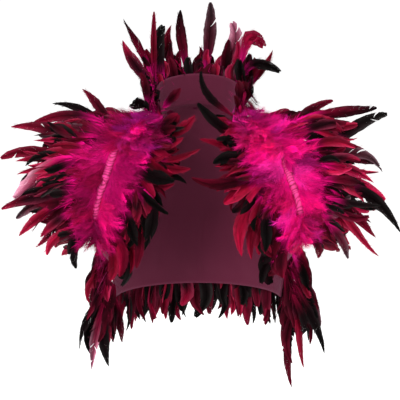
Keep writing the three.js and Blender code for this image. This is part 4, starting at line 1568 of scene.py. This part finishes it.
def makeCollarTrim():
    # long feathers, each in its own place, others between them, and down over their roots
    spec = collarTrim
    rng = np.random.default_rng(spec["seed"])

    def fanPoint(turn, up):
        # a straight line from the foot of the band up to the dense edge
        turn, up = np.broadcast_arrays(np.asarray(turn, float), up)
        foot = np.full_like(turn, 0.04)
        root = collarPoint(turn, foot) + normalOf(collarPoint, turn, foot, -1) * cloth["pileGap"]
        return root + (collarEdge(turn) - root) * up[..., None]

    def facingAt(turn):
        # half as far round as the band, so that no feather is seen edge-on from the front
        aside = np.abs(turn)
        way = np.radians(np.where(aside < 98, aside / 2, 90 + aside / 2)) * np.sign(turn)
        return vec(np.sin(way), np.cos(way), 0.1)

    rows = spec["long"]
    kinds = [row[7] for row in rows]
    turn, up, tipX, tipY, tipZ, bow, width = np.array([row[:7] for row in rows], float).T
    normal = normalOf(collarPoint, turn, up, -1)
    root = collarPoint(turn, up * 0.4) + normal * (cloth["pileGap"] + 5)
    tip = vec(tipX, tipY, tipZ)
    facing = facingAt(turn) + rng.normal(0, 0.12, tip.shape)
    arch = normal * bow[:, None] + vec(0, 0, [row[8] for row in rows])
    longSet = featherSet(root, tip, arch, facing, width, kinds, rng, 0.24, "magenta")
    longSet["curl"] *= 0.5
    longSet["twist"] *= 0.4
    longSet["point"] = np.where([kind in spec["blunt"] for kind in kinds], 0.5, longSet["point"])
    dim(longSet, spec["longTone"])

    def fill(layer):
        # from low on the band towards the dense edge, moved a little by chance
        count = layer["count"]
        turn = scattered(rng, count) * 218 - 109
        up = rng.uniform(0.02, 0.35, count)
        normal = normalOf(collarPoint, turn, up, -1)
        height = cloth["pileGap"] + rng.uniform(*layer["height"], count)
        root = collarPoint(turn, up) + normal * height[:, None]
        edge = collarEdge(np.clip(turn + rng.normal(0, 8, count), -112, 112))
        tip = root + (edge - root) * rng.uniform(*layer["reach"], count)[:, None]
        tip = tip + rng.normal(0, 5, (count, 3)) + normal * 4
        facing = facingAt(turn) + rng.normal(0, 0.25, tip.shape)
        kinds = chooseKinds(rng, count, spec["kinds"])
        arch = normal * rng.uniform(0, 7, count)[:, None]
        width = rng.uniform(*layer["width"], count)
        f = featherSet(root, tip, arch, facing, width, kinds, rng, layer["bareRoot"], "magenta")
        f["curl"] = f["curl"] * 0.4
        ends = 1 - 0.5 * smoothstep(np.abs(turn), 60, 95)  # darker at the front ends and on the right
        dim(f, (ends * (1 - 0.3 * smoothstep(turn, 20, 60)))[:, None])
        return f

    def matThick(share):
        # thinner towards the far edge
        return 9 - 5 * share

    def shingle(share):
        # the far down lies lowest
        return 3 + 5 * share

    dyeAt = downDye(spec["fluffOdds"], spec["fluffOdds"], rng)
    detailed = list(zip([longSet, *[fill(layer) for layer in spec["layers"]]], spec["detail"]))
    downSets = [
        (plumules(fanPoint, -1, span, always(reach), count, rng, shingle, dyeAt, size, pull), hairs)
        for span, reach, count, size, pull, hairs in spec["fluff"]
    ]
    mat = spec["mat"]
    parts = [
        *partsOf(vanePart, detailed, "strips", rng),
        *partsOf(shaftPart, detailed, "steps"),
        underlayPart(fanPoint, -1, mat["span"], always(mat["far"]), matThick, mat["grid"], rng, dyeAt),
        *[part for f, hairs in downSets for part in fluffParts(f, rng, hairs)],
        *partsOf(looseBarbs, detailed, "barbs", rng),
        *partsOf(marginHairs, detailed, "hairs", rng),
    ]
    makeTrim("collarFeathers", parts, "collar_feathers")


makeCollarTrim()

# side feathers

# long feathers: place down the side edge, tip x (outwards) and z, arch outwards, lean, width, kind
sideTrims = {
    "Left": {
        "seed": 41, "tone": 0.7,
        "long": [
            (0.50, 150, -306, 2, -26, 22, "crim"),
            (0.56, 178, -312, 4, -8, 12, "red"),
            (0.64, 171, -336, 4, 16, 14, "black"),
            (0.72, 186, -390, 6, -10, 22, "black"),
            (0.80, 154, -400, 5, 18, 16, "red"),
            (0.84, 175, -424, 4, -8, 17, "pale"),
            (0.90, 152, -421, 8, -14, 22, "black"),
            (0.95, 128, -384, -4, 2, 16, "dark"),
        ],
    },
    "Right": {
        "seed": 42, "tone": 1.0,
        "long": [
            (0.56, 182, -302, 6, -8, 14, "red"),
            (0.62, 200, -355, 6, 16, 17, "grey"),
            (0.70, 198, -390, 6, -6, 16, "black"),
            (0.77, 186, -389, 5, 18, 15, "dark"),
            (0.83, 177, -421, 4, -8, 17, "red"),
            (0.89, 150, -420, 9, 20, 13, "black"),
            (0.94, 152, -458, 2, 2, 20, "dark"),
        ],
    },
}
sideShape = {
    "inset": 0.06,
    "fill": {
        "count": 34, "inset": (0.01, 0.12), "height": (2, 8), "reach": (0.55, 0.98),
        "width": (11, 17), "tone": 0.8,
    },
    "edge": {"count": 10, "inset": 0.01, "height": (-1, 1), "drop": (58, 90), "width": (15, 20), "tone": 0.7},
    "kinds": {"red": 1.4, "crim": 0.2, "dark": 4, "dusk": 3, "ember": 2, "black": 7},
    "detail": [
        {"strips": 20, "steps": 9, "barbs": 14, "hairs": 60},
        {"strips": 13, "steps": 6, "barbs": 10, "hairs": 34},
        {"strips": 11},
    ],
    "fluff": {
        "span": (0.87, 0.99), "reach": (0.92, 0.34), "count": 54, "size": (24, 40), "height": 8, "hairs": 70,
    },
    "fluffTop": {"hot": 4, "magenta": 4, "violet": 1, "crimson": 3, "wine": 1},
    "fluffLow": {"hot": 0.6, "magenta": 1.2, "violet": 0.4, "crimson": 3, "wine": 6},
}


def makeSideTrim(hand, side):
    # feathers hang from the side edge of the back: the long ones, some between them, a dark row behind
    spec, shape = sideTrims[hand], sideShape
    rng = np.random.default_rng(spec["seed"])
    top = cloth["backTop"]

    def rootAt(down, inset, height):
        # a point on the back near its side edge, raised off the cloth
        place = top + (1 - top) * down
        across = side * (1 - inset) + 0 * place
        normal = normalOf(backPoint, across, place, 1)
        return backPoint(across, place) + normal * (cloth["pileGap"] + height)[..., None]

    down, tipX, tipZ, bow, lean, width = np.array([row[:6] for row in spec["long"]], float).T
    root = rootAt(down, shape["inset"], np.full_like(down, 5.0))
    tip = vec(side * tipX, root[:, 1] + lean, tipZ)
    facing = vec(side * 0.4, -1, 0) + rng.normal(0, 0.3, tip.shape)
    kinds = [row[6] for row in spec["long"]]
    longSet = featherSet(root, tip, vec(side * bow, 0, 0), facing, width, kinds, rng, 0.2, "wine")

    by = shape["fill"]
    count = by["count"]
    at = scattered(rng, count) * 0.58 + 0.4
    root = rootAt(at, rng.uniform(*by["inset"], count), rng.uniform(*by["height"], count))
    goalY = root[:, 1] + rng.uniform(-8, 22, count)
    goal = vec(side * np.interp(at, down, tipX), goalY, np.interp(at, down, tipZ))
    tip = root + (goal - root) * rng.uniform(*by["reach"], count)[:, None]
    tip = tip + vec(rng.normal(0, 6, count), 0, rng.normal(0, 6, count))
    facing = vec(side * 0.5, -1, 0) + rng.normal(0, 0.45, tip.shape)
    arch = vec(side * rng.normal(4, 3, count), 0, 0)
    width, kinds = rng.uniform(*by["width"], count), chooseKinds(rng, count, shape["kinds"])
    fill = featherSet(root, tip, arch, facing, width, kinds, rng, 0.2, "wine")
    dim(fill, by["tone"] * spec["tone"])

    by = shape["edge"]
    count = by["count"]
    at = scattered(rng, count) * 0.57 + 0.4
    root = rootAt(at, np.full(count, by["inset"]), rng.uniform(*by["height"], count))
    outwards, lean = rng.uniform(4, 16, count), rng.uniform(-4, 10, count)
    tip = root + vec(side * outwards, lean, -rng.uniform(*by["drop"], count))
    facing = vec(side * 0.2, -1, 0) + rng.normal(0, 0.2, tip.shape)
    arch = vec(side * rng.uniform(1, 4, count), 0, 0)
    width = rng.uniform(*by["width"], count)
    edge = featherSet(root, tip, arch, facing, width, ["dark"] * count, rng, 0.04, "wine")
    dim(edge, by["tone"])
    dim(longSet, spec["tone"])

    def edgeBand(across, down):
        # the back, mirrored for this side
        return backPoint(side * across, down)

    dyeAt = downDye(shape["fluffLow"], shape["fluffTop"], rng)
    by, pull = shape["fluff"], (0.5 * side, 0, -0.2)
    reach, height = always(by["reach"]), always(by["height"])
    downSet = plumules(edgeBand, side, by["span"], reach, by["count"], rng, height, dyeAt, by["size"], pull)
    detailed = list(zip([longSet, fill, edge], shape["detail"]))
    parts = [
        *partsOf(vanePart, detailed, "strips", rng),
        *partsOf(shaftPart, detailed, "steps"),
        *fluffParts(downSet, rng, by["hairs"]),
        *partsOf(looseBarbs, detailed, "barbs", rng),
        *partsOf(marginHairs, detailed, "hairs", rng),
    ]
    makeTrim("sideFeathers" + hand, parts, "side_feathers_" + hand.lower())


for handName, handSide in hands.items():
    makeSideTrim(handName, handSide)

# back rows

# down: place down the back; fluffFrom: where its down starts; lift and splay in degrees
backRows = {
    "backFeathersUpper": {
        "node": "back_feathers_upper", "seed": 51, "down": 0.08, "reach": 0.96, "count": 64, "length": 170,
        "lift": 18, "splay": 30, "fluffFrom": 0.004, "fluffCount": 150, "yoke": True,
    },
    "backFeathersMiddle": {
        "node": "back_feathers_middle", "seed": 52, "down": 0.42, "reach": 0.86, "count": 54, "length": 155,
        "lift": 16, "splay": 14, "fluffFrom": 0.42, "fluffCount": 70, "yoke": False,
    },
    "backFeathersLower": {
        "node": "back_feathers_lower", "seed": 53, "down": 0.72, "reach": 0.76, "count": 50, "length": 150,
        "lift": 12, "splay": 6, "fluffFrom": 0.72, "fluffCount": 70, "yoke": False,
    },
}
backShape = {
    "strip": 0.055,  # height of the tape
    "lie": 0.2,  # stretch of the back that they lie along
    "rise": 6.0,
    "crest": 9.0,
    "upper": {"lengths": (0.86, 1.0), "lifts": (0.8, 1.1), "width": (14, 21), "height": (6, 9)},
    "under": {"lengths": (0.7, 0.9), "lifts": (0.6, 0.8), "width": (18, 24), "height": (4, 6)},
    # short feathers over the shoulder seams
    "short": {"lengths": (0.5, 0.72), "lifts": (0.8, 1.1), "width": (13, 19), "height": (5, 8)},
    "shortCount": 60,
    "shortPlaces": (0.006, 0.06),
    "strips": {"upper": 14, "under": 11, "short": 11},
    "steps": 7,
    "barbs": 12,
    "hairs": 26,
    "fluffSize": (26, 44),
    "fluffPull": (0, 0, -0.2),
    "fluffHairs": 44,
    "mat": {"span": (-0.97, 0.97), "far": 0.12, "grid": (70, 8)},
}


def makeBackRow(name):
    # feathers lie along the cloth from a tape, then hang, lifted off it, the outer ones turned outwards
    spec, shape = backRows[name], backShape
    rng = np.random.default_rng(spec["seed"])

    def layer(key, count, places):
        # each feather bends where it leaves the cloth and falls half its length from there
        by = shape[key]
        across = spec["reach"] * 0.99 * (2 * scattered(rng, count) - 1)
        place = rng.uniform(*places, count)
        normal = normalOf(backPoint, across, place, 1)
        height = cloth["pileGap"] + rng.uniform(*by["height"], count)
        root = backPoint(across, place) + normal * height[:, None]
        level = unit(normal * np.array([1, 1, 0]))
        over = unit(backPoint(across, place + shape["lie"]) - backPoint(across, place))
        half = (spec["length"] / 2 * rng.uniform(*by["lengths"], count))[:, None]
        turn = np.radians(spec["splay"] * across + rng.normal(0, 5, count))
        off = np.radians(spec["lift"] * rng.uniform(*by["lifts"], count))[:, None]
        fall = vec(np.sin(turn), 0, -np.cos(turn)) * np.cos(off) + level * np.sin(off)
        clear = vec(0, 0, shape["crest"] * normal[:, 2])  # over the shoulders' bend
        bend = root + over * half + level * shape["rise"] + clear
        tip = bend + fall * half
        facing = normalOf(backPoint, across, place + 0.12, 1) + rng.normal(0, 0.12, level.shape)
        kinds = chooseKinds(rng, count, sideShape["kinds"])
        arch = (bend - (root + tip) / 2) / 2
        width = rng.uniform(*by["width"], count)
        return featherSet(root, tip, arch, facing, width, kinds, rng, 0.25, "crimson")

    tape = (spec["down"] + 0.2 * shape["strip"], spec["down"] + 0.8 * shape["strip"])
    sets = {"upper": layer("upper", spec["count"], tape), "under": layer("under", spec["count"] // 2, tape)}
    if spec["yoke"]:
        sets["short"] = layer("short", shape["shortCount"], shape["shortPlaces"])

    def thick(share):
        # the far down lies lowest
        return 8 + 3 * share

    dyeAt = downDye(sideShape["fluffLow"], sideShape["fluffTop"], rng)
    span, count = (-spec["reach"], spec["reach"]), spec["fluffCount"]
    reach = always((spec["down"] + shape["strip"], spec["fluffFrom"]))
    size, pull = shape["fluffSize"], shape["fluffPull"]
    downSet = plumules(backPoint, 1, span, reach, count, rng, thick, dyeAt, size, pull)
    parts = fluffParts(downSet, rng, shape["fluffHairs"])
    if spec["yoke"]:
        mat, far = shape["mat"], always(shape["mat"]["far"])
        parts.append(underlayPart(backPoint, 1, mat["span"], far, thick, mat["grid"], rng, dyeAt))
    for key, f in sets.items():
        parts += [
            vanePart(f, shape["strips"][key], rng),
            shaftPart(f, shape["steps"]),
            looseBarbs(f, shape["barbs"], rng, "hanging"),
            marginHairs(f, shape["hairs"], rng),
        ]
    makeTrim(name, parts, spec["node"])


for rowName in backRows:
    makeBackRow(rowName)

# floor, in metres

studio = {"floorZ": -1.25, "floorSize": 80.0, "squares": 8}


def makeFloor():
    # a flat grid well below the cape
    squares = studio["squares"]
    line = np.linspace(-studio["floorSize"] / 2, studio["floorSize"] / 2, squares + 1)
    gx, gy = np.meshgrid(line, line, indexing="ij")
    mesh = bpy.data.meshes.new("paleFloor")
    points = vec(gx, gy, studio["floorZ"]).reshape(-1, 3)
    mesh.from_pydata(points, [], gridFaces(squares, squares).tolist())
    mesh.materials.append(materials["floor"])
    mesh.update()
    addObject("paleFloor", mesh)


makeFloor()
print("floor made")
